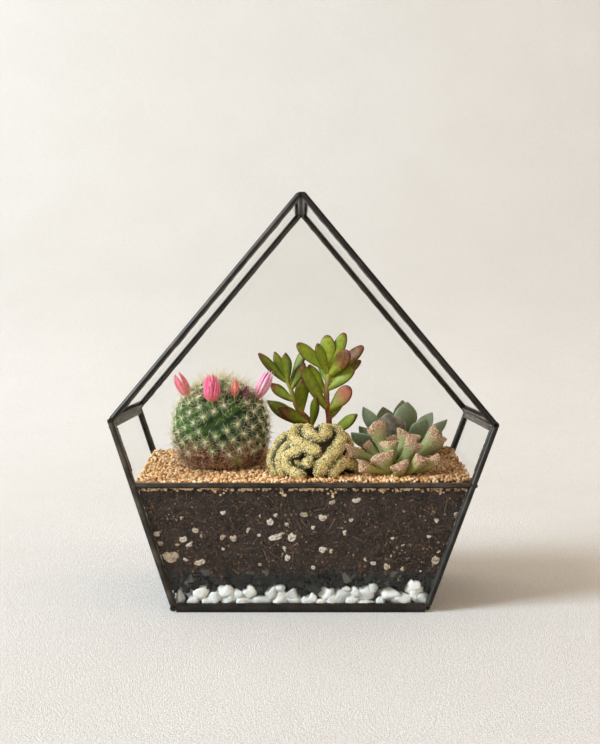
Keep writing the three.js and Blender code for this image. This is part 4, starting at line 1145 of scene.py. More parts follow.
def starForm(draw, spine, count, upright=3):
    # one cluster: spines low over the skin, and a few that stand out
    heap = Heap()
    for k in range(count):
        isLow = k < count - upright
        lift = draw.uniform(0.05, 0.5) if isLow else draw.uniform(0.8, 1.45)
        azimuth = 2 * math.pi * (k + draw.uniform(-0.3, 0.3)) / (count - upright) + 0.3
        flat = math.cos(lift)
        way = np.array([math.cos(azimuth) * flat, math.sin(azimuth) * flat, math.sin(lift)])
        length = draw.uniform(4.0, 6.8) if isLow else draw.uniform(4.5, 7.5)
        points = alongRib(spine.points, way * 0.2, way * length, unit(np.cross(way, (0.2, 0.1, 1))),
                          cactus["spine"], cactus["spine"], arch=draw.uniform(-0.4, 0.4))
        tone = draw.uniform(0, 0.9) if k < count - 1 else draw.uniform(0.5, 1.0)
        heap.put(spine, points, tone=tone, along=spine.marks["along"])
    return heap.joined()


def putHair(heap, spine, root, way, length, side, arch, tone):
    # one fine hair from its root
    points = alongRib(spine.points, root, root + way * length, unit(np.cross(way, side)),
                      cactus["hair"], cactus["hair"], arch=arch)
    heap.put(spine, points, tone=tone, along=spine.marks["along"])


def cactusBody(places):
    bpy.ops.mesh.primitive_uv_sphere_add(segments=200, ring_count=130, radius=1, location=(0, 0, 0))
    form = taken(bpy.context.object)
    ball = unit(form.points)
    polar = np.arccos(np.clip(ball[:, 2], -1, 1))
    azimuth = np.arctan2(ball[:, 1], ball[:, 0])
    flat = cactusPoint(polar, azimuth)
    tree = kdtree.KDTree(len(places))
    for i, place in enumerate(places):
        tree.insert(Vector(place), i)
    tree.balance()
    gap = np.array([tree.find(Vector(point))[2] for point in flat])
    knob = np.exp(-((gap / cactus["reach"]) ** 2))
    cork = (polar - math.radians(108)) / math.radians(20) + 0.12 * np.sin(azimuth * 5)
    cork = np.clip(cork, 0, 1)
    wrinkle = 0.5 * np.sin(azimuth * 31 + 3 * np.sin(polar * 40)) * cork
    bare = bareShare(flat)
    knob = np.maximum(knob, 0.08 * bare)
    skin = cactusPoint(polar, azimuth, cactus["tubercle"] * (knob - 0.35) * (1 - 0.6 * cork) + wrinkle)
    heap = Heap()
    heap.put(form, skin, knob=knob, cork=cork, bare=bare, pup=0.0)
    # a small offset at the foot
    pup = pebble(2, subdivisions=4, wobble=0.09)
    heap.put(pup, pup.points * cactus["pupSize"] + cactus["pup"], knob=0.6, cork=0.42, bare=0.0, pup=1.0)
    piece = heap.build("cactus_body", cactusSkin(), "pincushion_cactus")
    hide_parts("pincushion_cactus")


def underBloom(tip):
    return any(
        np.linalg.norm((tip - bloom["foot"])[:2]) < 3.4 and abs(tip[2] - bloom["foot"][2]) < 7
        for bloom in blooms.values())


def spinesAndWool(draw, spine, look, polar, azimuth):
    # a cluster of spines and a tuft of wool on every tubercle; the tufts are built later
    stars = [starForm(draw, spine, 19) for _ in range(5)]
    tips = cactusPoint(polar, azimuth, np.full(len(polar), cactus["tubercle"] * 0.62))
    outward = unit(cactusPoint(polar, azimuth, np.full(len(polar), 1.0)) - cactusPoint(polar, azimuth))
    spines, wool = Heap(), Heap()
    tuft = pebble(7, wobble=0.2)
    for i, (tip, up) in enumerate(zip(tips, outward)):
        if underBloom(tip):
            continue
        side = unit(np.cross(up, (0.1, 0.2, 1.0)))
        other = np.cross(up, side)
        spin = draw.uniform(0, 2 * math.pi)
        across = side * math.cos(spin) + other * math.sin(spin)
        basis = np.stack([across, np.cross(up, across), up])
        crown = max(0.0, 1 - polar[i] / 0.9)
        size = draw.uniform(0.85, 1.12) * (1 + 0.3 * crown)
        star = stars[i % len(stars)]
        spines.put(star, star.points @ basis * size + tip, **star.marks)
        wool.put(tuft, (tuft.points * (0.34, 0.34, 0.3)) @ basis + tip, tone=draw.uniform())
    spines.build("cactus_spines", look, "pincushion_cactus", smooth=False)
    return wool


def cactusBristles(draw, spine, look):
    # finer, longer hairs that stand out of the crown and round the outline
    bristles = Heap()
    for _ in range(cactus["bristles"]):
        crowned = draw.uniform() < 0.5
        polar = math.radians(draw.uniform(4, 62) if crowned else draw.uniform(40, 122))
        root = cactusPoint(polar, draw.uniform(0, 2 * math.pi), 1.0)
        out = unit(root - np.array(cactus["centre"]))
        way = unit(out + draw.normal(size=3) * (0.42 if crowned else 0.6))
        length = draw.uniform(5.0, 12.0) if crowned else draw.uniform(4.0, 8.5)
        putHair(bristles, spine, root, way, length, (0.2, 0.3, 1), draw.uniform(-0.7, 0.7),
                draw.uniform(0.3, 1.0) ** 0.5)
    bristles.build("cactus_bristles", look, "pincushion_cactus", smooth=False)


def footHairs(draw, spine):
    # dry hairs over the corky foot, and over the offset; they are built after the cork
    hairs = Heap()
    for _ in range(cactus["footHairs"]):
        polar = math.radians(draw.uniform(104, 150))
        root = cactusPoint(polar, draw.uniform(0, 2 * math.pi), 0.2)
        out = unit(root - np.array(cactus["centre"]) - (0, 0, -14))
        way = unit(out * draw.uniform(0.3, 1.0) + draw.normal(size=3) * 0.55)
        putHair(hairs, spine, root, way, draw.uniform(2.2, 6.2), (0.3, 0.2, 1), draw.uniform(-1.0, 1.0),
                draw.uniform(0.3, 1.0))
    for _ in range(cactus["pupHairs"]):
        out = unit(draw.normal(size=3) + (0, -1.2, 0.4))
        root = out * cactus["pupSize"] + cactus["pup"]
        way = unit(out + draw.normal(size=3) * 0.5)
        putHair(hairs, spine, root, way, draw.uniform(1.6, 4.0), (0.3, 0.2, 1), draw.uniform(-0.5, 0.5),
                draw.uniform(0.3, 0.8))
    return hairs


def corkScabs(draw):
    crust = [pebble(12 + k, wobble=0.35) for k in range(3)]
    scabs = Heap()
    for k in range(cactus["scabs"]):
        polar = math.radians(draw.uniform(106, 148))
        place = cactusPoint(polar, draw.uniform(0, 2 * math.pi), draw.uniform(-0.2, 0.5))
        form = crust[k % 3]
        points = form.points @ turnsOf(draw, 1)[0].T * draw.uniform(0.35, 0.95) + place
        scabs.put(form, points, tone=draw.uniform())
    scabs.build("cactus_cork", corkFinish(), "pincushion_cactus", smooth=False)


def pincushion():
    draw = np.random.default_rng(cactus["seed"])
    polar, azimuth = areolePlaces()
    places = cactusPoint(polar, azimuth)
    shown = bareShare(places) < 0.55
    cactusBody(places[shown])
    spine = ringForm(3, ((0, 1, 1), (0.5, 0.7, 0.7), (1.0, 0.08, 0.08)))
    spineLook = spineFinish()
    wool = spinesAndWool(draw, spine, spineLook, polar[shown], azimuth[shown])
    cactusBristles(draw, spine, spineLook)
    wool.build("cactus_wool", woolFinish(), "pincushion_cactus")
    hairs = footHairs(draw, spine)
    corkScabs(draw)
    dry = tonedFinish("dry_hairs", 0.7, (0.3, (232, 208, 184)), (0.7, (198, 156, 124)), (1.0, (120, 84, 62)))
    hairs.build("cactus_base_hairs", dry, "pincushion_cactus", smooth=False)


pincushion()
print("cactus built")


def bloomFinish(name, bloom):
    f = Finish("petals_" + name)
    along, rim = f.mark("along"), f.mark("rim")
    colour = f.ramp(along, (0.05, bloom["base"]), (0.5, bloom["middle"]), (0.95, bloom["end"]))
    colour = f.mix(f.mark("tone") * 0.4, colour, bloom["deep"])
    # paler petal edges and tips: partly the petals' own colour, partly painted highlight
    colour = f.mix(rim.between(0.5, 0.95) * along.between(0.1, 0.6) * 0.7, colour, bloom["edge"])
    colour = f.mix(along.between(0.86, 0.98) * 0.4, colour, bloom["edge"])
    zigzag = f.noise(1.7, detail=3, rough=0.7, warp=1.4)
    # pale zigzag streaks on the petal faces: painted highlights
    colour = f.mix(zigzag.between(0.52, 0.62) * 0.6, colour, bloom["edge"])
    colour = f.mix(zigzag.between(0.46, 0.38) * 0.5, colour, bloom["deep"])
    vein = f.noise(0.5, detail=2, place=f.spot((1000, 1000, 160)))
    return f.shade(colour, 0.45, f.bump(vein, 0.25, 0.2), Subsurface_Weight=0.15, Subsurface_Scale=0.002)


def bloomHead(draw, name, bloom, petal, throat):
    foot, tip = np.array(bloom["foot"], float), np.array(bloom["tip"], float)
    length = np.linalg.norm(tip - foot)
    axis = (tip - foot) / length
    side = unit(np.cross(axis, (0.2, 1, 0.1)))
    front = np.cross(axis, side)
    ragged = bloom.get("ragged", 0.2)
    heap = Heap()
    for ring, (count, reach) in enumerate(bloom["rings"]):
        # a petal's share of the bloom's width is larger where there are few of them
        share = {2: 0.5, 4: 0.5, 5: 0.46}.get(count, 0.3 - 0.1 * ragged)
        wide = bloom["width"] / 2 - (0.8 - 0.2 * ragged) * ring
        bulge = wide * (1 - 0.55 * bloom["open"]) * (0.78 - 0.3 * ragged)
        for k in range(count):
            turn = 2 * math.pi * (k + 0.5 * ring + draw.uniform(-0.12, 0.12)) / count + 0.4
            out = side * math.cos(turn) + front * math.sin(turn)
            base = foot + out * (0.9 + 1.3 * ragged)
            end = foot + axis * length * reach * draw.uniform(0.95 - 0.1 * ragged, 1.0)
            end = end + out * wide * bloom["open"] * (1 + ragged * draw.uniform(-0.2, 0.25))
            end = end + np.cross(axis, out) * ragged * draw.uniform(-1.2, 1.2)
            points = alongRib(petal.points, base, end, out, bloom["width"] * share, 0.7, arch=bulge, cup=-0.7)
            heap.put(petal, points, tone=draw.uniform(), **petal.marks)
    # the throat, and round it the swollen foot of an open bloom: how far it starts below the foot
    # of the bloom, its share of the length, its width, tone and rim
    parts = [(1.5, 0.55, bloom["width"] * 0.42, 0.0, 0.5)]
    if "round" in bloom:
        parts.append((1.2, 0.5, bloom["round"] * 2.3, 0.2, 0.2))
    for below, share, width, tone, rim in parts:
        top = foot + axis * length * share
        points = alongRib(throat.points, foot - axis * below, top, side, width, width)
        heap.put(throat, points, tone=tone, along=throat.marks["along"] * 0.3, rim=rim)
    piece = heap.build("bloom_" + name, bloomFinish(name, bloom), "cactus_bloom")
    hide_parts(bloom["node"])


def bloomPieces():
    draw = np.random.default_rng(bloomSeed)
    petal = ringForm(8, ((0, .38, .8), (0.2, .62, 1), (0.42, 0.95, 1), (0.6, 1, .9), (0.75, .74, .7),
                         (0.88, .38, .5), (1.0, .02, .1)), smooth=1)
    throat = ringForm(10, ((0, 0.5, 0.5), (0.3, 0.9, 0.9), (0.7, 1, 1), (1, 0.4, 0.4)), smooth=1)
    for name, bloom in blooms.items():
        bloomHead(draw, name, bloom, petal, throat)


bloomPieces()
print("blooms built")

crest = {
    "centre": (8.7, -31.0, 97.0), "size": (22.2, 15.0, 17.4), "voxel": 0.75, "plump": 1.02, "foot": 84.5,
    "dots": 5200, "dotsAbove": 87, "seed": 131,
    # each ridge: its radius and the line it follows
    "ridges": [
        (4.3, [(-1.8, -45.7, 103.0), (-7.9, -44.0, 101.4), (-10.2, -43.6, 96.6), (-7.4, -45.4, 91.6),
               (-1.8, -46.9, 88.6), (1.9, -46.6, 86.2)]),
        (4.4, [(3.2, -46.8, 98.8), (3.4, -47.4, 96.4), (3.0, -47.2, 94.0)]),
        (3.6, [(-4.6, -42.6, 98.0), (-3.6, -43.0, 95.0), (-2.2, -43.4, 92.6)]),
        (4.4, [(-7.0, -34.0, 107.5), (-11.6, -37.0, 102.6), (-14.2, -38.8, 96.4), (-12.6, -40.0, 90.6),
               (-10.6, -41.0, 86.6)]),
        (4.6, [(-8.0, -27.0, 113.0), (-12.6, -30.2, 109.4), (-17.6, -31.9, 102.8), (-19.9, -32.9, 96.1),
               (-17.6, -35.5, 90.4), (-14.5, -37.0, 87.2)]),
        (4.8, [(1.0, -28.5, 117.3), (-5.2, -31.7, 114.4), (-5.0, -40.2, 109.3), (0.9, -44.3, 106.2),
               (7.0, -46.0, 103.6), (9.6, -46.0, 101.4)]),
        (4.5, [(3.0, -29.4, 117.8), (3.6, -37.1, 114.4), (9.0, -41.6, 110.9), (14.0, -38.5, 112.3),
               (14.8, -30.6, 116.4), (11.5, -24.4, 116.2)]),
        (4.9, [(15.2, -25.6, 116.0), (22.4, -29.9, 114.8), (24.6, -34.3, 109.5), (21.4, -42.0, 104.1),
               (15.8, -46.0, 99.0), (11.6, -47.3, 93.5), (9.7, -46.6, 87.4)]),
        (4.7, [(34.0, -29.5, 88.5), (31.6, -35.8, 93.6), (25.3, -42.2, 95.4), (20.2, -45.4, 91.2),
               (17.3, -45.4, 86.6)]),
        (4.2, [(25.6, -24.2, 112.5), (29.4, -28.6, 107.9), (30.6, -30.1, 101.9), (33.0, -29.7, 95.0)]),
        (4.6, [(-10.0, -22.0, 108.5), (-17.0, -21.5, 101.0), (-18.5, -20.5, 93.0), (-14.0, -17.5, 87.5)]),
        (4.6, [(-3.0, -20.5, 114.0), (-7.0, -15.5, 107.0), (-9.5, -13.5, 99.0), (-4.0, -13.5, 91.0),
               (2.0, -13.5, 87.0)]),
        (4.6, [(8.0, -19.5, 115.5), (5.0, -15.0, 109.0), (4.0, -13.2, 101.0), (10.0, -12.8, 94.0),
               (9.5, -13.0, 87.0)]),
        (4.6, [(17.0, -19.0, 113.5), (18.0, -14.5, 106.0), (16.0, -13.0, 99.0), (20.0, -13.4, 92.0),
               (18.0, -14.0, 87.0)]),
        (4.5, [(25.0, -20.0, 107.0), (28.0, -17.5, 99.5), (29.0, -18.5, 92.0), (27.0, -20.0, 87.0)]),
    ],
}
crestMiddle = np.array(crest["centre"]) - (0, 0, 6)  # what the ridges face away from


def crestFinish():
    f = Finish("crest_skin")
    crown = f.mark("crown")
    fine = f.noise(0.6, detail=3, rough=0.7)
    cloud = f.noise(6, detail=3, rough=0.6)
    cells = f.cells(1.25)
    # green-grey flanks against cream ridge tops: partly the skin's own colour, partly painted shade on the
    # flanks
    side = f.mix(fine.between(0.35, 0.65), (62, 64, 34), (124, 122, 74))
    top = f.mix(cloud.between(0.35, 0.7), (202, 178, 104), (228, 208, 148))
    top = f.mix(fine.between(0.45, 0.65) * 0.65, top, (128, 124, 76))
    colour = f.mix((crown + 0.4 * (cloud - 0.5)).between(0.3, 0.95), side, top)
    colour = f.mix(cells.between(0.42, 0.12) * crown.between(-0.4, 0.6) * 0.6, colour, (240, 230, 184))
    colour = f.mix(f.cells(1.0).between(0.24, 0.14) * 0.85, colour, (84, 60, 34))
    # darker where the skin faces inwards, between the ridges: painted shade in the valleys
    colour = f.mix(crown.between(0.5, -0.15), colour, (50, 44, 26))
    return f.shade(colour, 0.6, f.bump(cells * -1.0 + fine * 0.3, 0.7, 0.4), Specular_IOR_Level=0.3)


def crestBody():
    # the ridges and a core melted together; returns the skin's points and how far each faces out
    heap = Heap()
    bpy.ops.mesh.primitive_uv_sphere_add(segments=48, ring_count=28, radius=1, location=(0, 0, 0))
    core = taken(bpy.context.object)
    heap.put(core, core.points * crest["size"] + crest["centre"], along=0.0)
    axes = []
    for radius, line in crest["ridges"]:
        path = smoothPath(line, 6)
        runs = np.linspace(0, 1, len(path))
        radii = radius * crest["plump"] * np.minimum(1, 0.72 + 2.4 * np.minimum(runs, 1 - runs))
        radii = radii * (1 + 0.06 * np.sin(runs * 17 + radius * 9))
        tube(heap, path, radii, sides=14)
        axes.append(np.column_stack([path, radii]))
    piece = heap.shape("crest_ridges")
    modify(piece, "REMESH", mode="VOXEL", voxel_size=crest["voxel"] * mm)
    modify(piece, "SMOOTH", factor=0.5, iterations=2)
    form = taken(piece)
    points = form.points / mm
    axes = np.concatenate(axes)
    crown = np.empty(len(points))
    batch = 4000  # points at a time, to save memory
    for start in range(0, len(points), batch):
        part = points[start:start + batch]
        gap = part[:, None] - axes[None, :, :3]
        near = np.argmin(np.linalg.norm(gap, axis=2) / axes[None, :, 3], axis=1)
        away = gap[np.arange(len(part)), near] / axes[near, 3:4]
        out = unit(axes[near, :3] - crestMiddle)
        crown[start:start + batch] = np.sum(away * out, axis=1)
    points[:, 2] = np.maximum(points[:, 2], crest["foot"])
    heap = Heap()
    heap.put(form, points, crown=crown)
    skin = heap.build("crest_body", crestFinish(), "crested_cactus")
    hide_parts("crested_cactus")
    return points, crown


def crestedCactus():
    draw = np.random.default_rng(crest["seed"])
    points, crown = crestBody()
    tufts = Heap()
    bit = pebble(9, wobble=0.25)
    above = np.flatnonzero((crown > 0.18) & (points[:, 2] > crest["dotsAbove"]))
    for i in draw.choice(above, min(crest["dots"], len(above)), replace=False):
        tone = draw.uniform(0, 0.72) if draw.uniform() < 0.5 else draw.uniform(0.8, 1.0)
        size = draw.uniform(0.3, 0.5) if tone < 0.75 else draw.uniform(0.24, 0.36)
        out = unit(points[i] - crestMiddle)
        tufts.put(bit, bit.points * size + points[i] + out * 0.05, tone=tone)
    look = tonedFinish("crest_tufts", 0.75, (0.0, (204, 186, 112)), (0.5, (234, 222, 160)),
                       (0.7, (248, 240, 200)), (0.8, (98, 78, 46)), (1.0, (58, 46, 30)))
    tufts.build("crest_tufts", look, "crested_cactus")


crestedCactus()
print("crested cactus built")

# Leaves: height of the joint on the stem, tip, width, and how red the leaf is, or "pink".
crassula = {
    "thick": 5.4, "arch": -1.8, "wide": 1.17, "seed": 141,
    "right": {
        "radius": (2.5, 1.6), "tones": (0.5, 1.0),
        "path": [(14.5, 17, 84), (17.6, 17, 104), (18.8, 15, 118),
                 (17.2, 15, 133), (17.4, 14, 145), (19.4, 14, 156)],
        "leaves": [
            (126, (-0.6, 7, 158.5), 9.8, 0.12), (137, (4.2, 21, 159), 8.6, 0.3),
            (125, (33.6, 8, 143.5), 11.4, "pink"), (140, (36.8, 8, 158.5), 9.6, 0.2),
            (155, (-4.4, 11, 174.5), 9.6, 0.4), (154, (17.4, 19, 180.5), 10.6, 0.2),
            (152, (10.2, 3, 174.5), 7.6, 0.2), (155, (30.4, 20, 182), 8.8, 0.4),
            (152, (32.4, -1, 168.5), 12.0, 1.0), (151, (43.4, 12, 172.5), 9.6, 0.9),
            (147, (42.2, 20, 162), 7.8, 0.6), (120, (30.5, 31, 139), 8.4, 0.4),
            (146, (13.0, 33, 168), 8.2, 0.3), (108, (38.5, 3, 124.5), 8.2, 0.35),
        ],
    },
    "left": {
        "radius": (2.3, 1.4), "tones": (0.05, 0.55),
        "path": [(4.5, 21, 84), (6.5, 20, 104), (4.6, 18, 118),
                 (-3.8, 18, 127), (-7.6, 18, 138), (-11.8, 18, 148)],
        "leaves": [
            (146, (-32.0, 15, 167.5), 7.2, 0.5), (147, (-20.6, 24, 168.5), 6.8, 0.3),
            (145, (-12.6, 12, 167.8), 7.6, 0.3), (143, (2.0, 26, 172.5), 6.8, 0.25),
            (140, (1.0, 17, 160.5), 7.4, 0.7), (132, (-23.8, 21, 145.5), 7.8, 0.7),
            (124, (-0.8, 7, 149), 10.2, 0.1), (113, (-26.6, 24, 132.8), 10.0, 0.2),
            (117, (-17.6, 8, 128.5), 9.6, 0.78), (113, (9.4, 6, 136.5), 7.2, 0.15),
            (128, (3.6, 35, 147), 8.2, 0.3),
        ],
    },
}


def crassulaFinish():
    f = Finish("crassula_leaf")
    along, rim, blush, side = f.mark("along"), f.mark("rim"), f.mark("blush"), f.mark("tone")
    mottle = f.noise(2.6, detail=4, rough=0.6)
    speck = f.noise(0.45, detail=2)
    green = f.mix(side, (56, 80, 12), (136, 154, 30))
    green = f.mix(rim.between(0.75, 0.1) * 0.45, green, (160, 172, 50))
    green = f.mix(along.between(0.35, 0.0) * 0.5, green, (188, 180, 66))
    green = f.mix(mottle.between(0.42, 0.68) * 0.5, green, (78, 98, 14))
    green = f.mix(speck.between(0.6, 0.72) * 0.3, green, (186, 192, 90))
    red = f.mix(f.noise(3.4, detail=3).between(0.4, 0.62), (70, 24, 20), (128, 50, 36))
    flushed = (along * 1.1 - 1.3 + blush * 1.1 + 0.35 * (mottle - 0.5)).between(0.0, 0.5)
    margin = (rim.between(0.62, 1.0) * (0.25 + 0.75 * along) + 0.25 * (mottle - 0.5)).between(0.28, 0.72)
    tipped = (along + 0.12 * (mottle - 0.5)).between(0.86, 0.98)
    colour = f.mix(flushed * 0.85, green, red)
    pinkish = f.mark("pink") * (along + 0.5 * (mottle - 0.5)).between(0.2, 0.8)
    colour = f.mix(pinkish * 0.85, colour, f.mix(speck, (128, 46, 44), (196, 104, 84)))
    colour = f.mix(margin * 0.85, colour, (92, 36, 28))
    colour = f.mix(tipped * 0.8, colour, (98, 42, 36))
    return f.shade(colour, 0.44 + 0.12 * mottle, f.bump(mottle, 0.15, 0.3), Specular_IOR_Level=0.35,
                   Subsurface_Weight=0.12, Subsurface_Scale=0.003)


def stemFinish():
    f = Finish("crassula_stem")
    along = f.mark("along")
    rings = f.noise(1.4, detail=4, rough=0.7, place=f.spot((500, 500, 1400)))
    brown = f.mix(rings.between(0.35, 0.7), (96, 44, 28), (168, 96, 58))
    colour = f.mix(along.between(0.55, 0.9), brown, (150, 146, 66))
    return f.shade(colour, 0.55, f.bump(rings, 0.5, 0.4))


crassulaLook, stemLook = crassulaFinish(), stemFinish()
crassulaLeaf = ringForm(12, ((0, .22, .45), (0.08, .34, .8), (0.28, .64, 1), (0.48, .92, 1), (0.66, 1, .94),
                             (0.82, .88, .82), (0.92, .66, .64), (1.0, .28, .3)), smooth=1)


def crassulaStem(which):
    look = crassula[which]
    draw = np.random.default_rng(crassula["seed"] + len(which))
    path = smoothPath(look["path"], 8)
    runs = np.linspace(0, 1, len(path))
    stem = Heap()
    start, end = look["radius"]
    bumps = 1 + 0.12 * np.maximum(0, np.sin(runs * 40)) ** 4
    tube(stem, path, (start + (end - start) * runs) * bumps, sides=12)
    stem.build("crassula_stalk_" + which, stemLook, "crassula")
    leaves = Heap()
    for joint, tip, width, blush in look["leaves"]:
        base = path[np.argmin(np.abs(path[:, 2] - joint))]
        out = unit(tip - base)
        face = unit((-out[0] * 0.5 + draw.uniform(-0.3, 0.3), -1.0, 0.45))
        # narrow leaves end in a point
        narrow = width < 8.7 or which == "left"
        sharp = draw.uniform(0.3, 0.75) if narrow else draw.uniform(0.0, 0.25)
        shape = crassulaLeaf.points.copy()
        shape[:, 0] *= 1 - sharp * np.clip((shape[:, 2] - 0.65) / 0.35, 0, 1) ** 2
        points = alongRib(shape, base, tip, face, width * crassula["wide"], crassula["thick"],
                          arch=crassula["arch"], cup=1.1, twist=draw.uniform(-0.3, 0.3))
        pink = blush == "pink"
        leaves.put(crassulaLeaf, points, blush=0.0 if pink else blush, pink=float(pink),
                   tone=draw.uniform(*look["tones"]), **crassulaLeaf.marks)
    piece = leaves.build("crassula_leaves_" + which, crassulaLook, "crassula")
    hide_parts("crassula_stem_" + which)


crassulaStem("right")
crassulaStem("left")
print("crassula built")

# Leaves: the two outer corners of the flared end, and where the leaf starts.
jewel = {
    "centre": (62.5, -33, 88), "thick": 7.0, "wartsPerLeaf": 420, "seed": 151,
    "leaves": [
        ((42.2, -27, 120.3), (55.6, -23, 119.5), (58, -28, 96)),
        ((64.2, -24, 114.8), (80.4, -24, 113.6), (66, -28, 96)),
        ((27.4, -42, 108.4), (29.0, -41, 99.6), (54, -35, 95)),
        ((43.7, -47, 100.4), (59.5, -45, 103.2), (58, -37, 89)),
        ((51.0, -33, 108.6), (63.9, -33, 109.4), (60, -32, 94)),
        ((68.3, -43, 109.0), (81.4, -42, 111.6), (64, -37, 92)),
        ((86.0, -31, 116.8), (99.0, -29, 112.0), (70, -32, 92)),
        ((57.8, -51, 92.6), (69.9, -50, 99.8), (62, -41, 87)),
        ((75.0, -49, 102.2), (84.0, -47, 98.0), (67, -38, 87)),
        ((35.6, -50, 98.4), (38.2, -51, 90.6), (57, -39, 88)),
        ((88.0, -44, 100.6), (95.0, -40, 96.0), (69, -35, 89)),
        ((38.0, -20, 107.0), (47.0, -16, 105.0), (58, -29, 92)),
        ((55.0, -15, 110.0), (66.0, -14, 110.0), (62, -28, 92)),
        ((80.0, -18, 105.0), (88.0, -20, 101.0), (66, -30, 90)),
    ],
}


def jewelFinish():
    f = Finish("jewel_leaf")
    along, tone = f.mark("along"), f.mark("tone")
    fine = f.noise(1.0, detail=4, rough=0.65)
    green = f.mix(tone, (112, 122, 70), (142, 152, 94))
    green = f.mix(f.mark("yellow") * 0.8, green, (156, 138, 56))
    green = f.mix(along.between(0.3, 0.0) * 0.6, green, (112, 106, 50))
    crust = f.mix(fine.between(0.38, 0.62), (146, 104, 84), (192, 158, 132))
    colour = f.mix((along + 0.5 * (fine - 0.5)).between(0.6, 0.98) * 0.9, green, crust)
    return f.shade(colour, 0.62, f.bump(fine, 0.5, 0.4))


def jewelPlant():
    draw = np.random.default_rng(jewel["seed"])
    leaf = ringForm(14, ((0, .50, .75), (0.15, .50, .85), (0.35, .53, .9), (0.55, .64, .95), (0.72, .86, .95),
                         (0.86, 1.04, .78), (0.95, 1.1, .52), (1.0, 1.0, .26)), smooth=1)
    # the flared end is cut square, and bulges a little
    late = np.clip((leaf.points[:, 2] - 0.7) / 0.3, 0, 1)
    leaf.points[:, 2] += late * 0.02 * leaf.points[:, 0] ** 2
    below = leaf.points[:, 1] < -1e-4  # without the middle line, where the sign is only rounding
    leaf.points[:, 1] -= 0.3 * (1 - np.abs(leaf.points[:, 0])) * below
    bit = pebble(5, wobble=0.18)
    quads = leaf.corners[:4 * np.count_nonzero(leaf.sizes == 4)].reshape(-1, 4)
    across = leaf.points[quads]
    area = np.linalg.norm(np.cross(across[:, 2] - across[:, 0], across[:, 3] - across[:, 1]), axis=1)
    chances = area * np.clip((across[:, :, 2].mean(axis=1) - 0.52) / 0.4, 0, 1) ** 1.5
    chances /= chances.sum()
    # operators give faces and corners in an order that can change, so both are sorted along a slanted line
    slanted = np.array((1.0, 0.31, 0.17))
    order = np.argsort(across.mean(axis=1) @ slanted)
    quads, chances = quads[order], chances[order]
    quads = np.take_along_axis(quads, np.argsort(leaf.points[quads] @ slanted, axis=1), axis=1)
    leaves, warts = Heap(), Heap()
    for left, right, base in jewel["leaves"]:
        left, right, base = (np.array(p, float) for p in (left, right, base))
        tip = (left + right) / 2
        width = np.linalg.norm(right - left)
        face = unit(np.cross(tip - base, right - left))
        if face[2] < 0 and abs(face[2]) > 0.2:
            face = -face
        shape = leaf.points.copy()
        wave = np.sin(shape[:, 0] * draw.uniform(2, 3.4) + draw.uniform(0, 6.3))
        shape[:, 2] += late * draw.uniform(0.03, 0.07) * wave
        points = alongRib(shape, base, tip, face, width, jewel["thick"], arch=-1.2, cup=0.8)
        # low leaves are yellower
        yellow = np.clip((104 - tip[2]) / 12, 0, 1)
        leaves.put(leaf, points, tone=draw.uniform(), yellow=yellow, **leaf.marks)
        centre = points.mean(axis=0)
        for _ in range(int(jewel["wartsPerLeaf"] * width / 13)):
            # anywhere on a face of the flared end, thinning out down the leaf
            quad = quads[draw.choice(len(quads), p=chances)]
            place = draw.dirichlet((1, 1, 1, 1)) @ points[quad]
            size = draw.uniform(0.2, 0.38)
            out = unit(place - (centre * 0.4 + tip * 0.6))
            warts.put(bit, bit.points * size + place + out * 0.12 * size, tone=draw.uniform())
    piece = leaves.build("jewel_leaves", jewelFinish(), "jewel_plant")
    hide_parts("jewel_plant")
    look = tonedFinish("jewel_warts", 0.6, (0.0, (90, 40, 32)), (0.36, (118, 62, 48)),
                       (0.42, (206, 168, 132)), (0.75, (226, 196, 160)), (1.0, (240, 222, 194)))
    warts.build("jewel_warts", look, "jewel_plant")


jewelPlant()
print("jewel plant built")

# Leaves: tip, width, where the leaf starts, and how purple it is.
rosette = {
    "thick": 4.2, "wide": 1.16, "heart": (70.0, 22, 99), "middle": (70, 21, 94), "middleSize": (7, 7, 9),
    "seed": 161,
    "leaves": [
        ((75.3, 17, 132.2), 18.0, (71, 20, 100), 0.0), ((73.8, 36, 132.3), 13.0, (72, 26, 98), 0.1),
        ((59.0, -1, 125.6), 21.0, (68, 15, 98), 1.0), ((58.9, 33, 127.4), 16.0, (67, 25, 98), 0.1),
        ((43.1, 14, 128.9), 12.0, (64, 21, 98), 0.15), ((34.0, 4, 111.4), 15.0, (63, 17, 95), 0.0),
        ((49.0, 25, 120.4), 12.0, (65, 24, 96), 0.0), ((88.1, 9, 120.6), 15.0, (73, 17, 97), 0.1),
        ((94.7, 26, 123.9), 12.0, (74, 23, 97), 0.1), ((104.1, 16, 119.6), 12.0, (75, 20, 95), 0.1),
        ((100.0, 2, 105.6), 16.0, (73, 16, 93), 0.05), ((40.0, 11, 115.2), 11.0, (63, 20, 95), 0.0),
        ((78.5, -8, 104.0), 15.0, (70, 13, 94), 0.1), ((57.0, -12, 105.0), 14.0, (66, 13, 94), 0.1),
        ((66.0, 24, 122.0), 10.0, (70, 22, 102), 0.5), ((74.0, 26, 120.0), 9.0, (71, 22, 102), 0.4),
        ((46.0, 42, 109.0), 15.0, (65, 27, 94), 0.0), ((66.0, 52, 112.0), 16.0, (69, 29, 94), 0.0),
        ((88.0, 47, 112.0), 16.0, (73, 28, 94), 0.0), ((103.0, 34, 108.0), 15.0, (75, 25, 94), 0.0),
        ((80.0, 44, 124.0), 13.0, (72, 27, 97), 0.1),
    ],
}


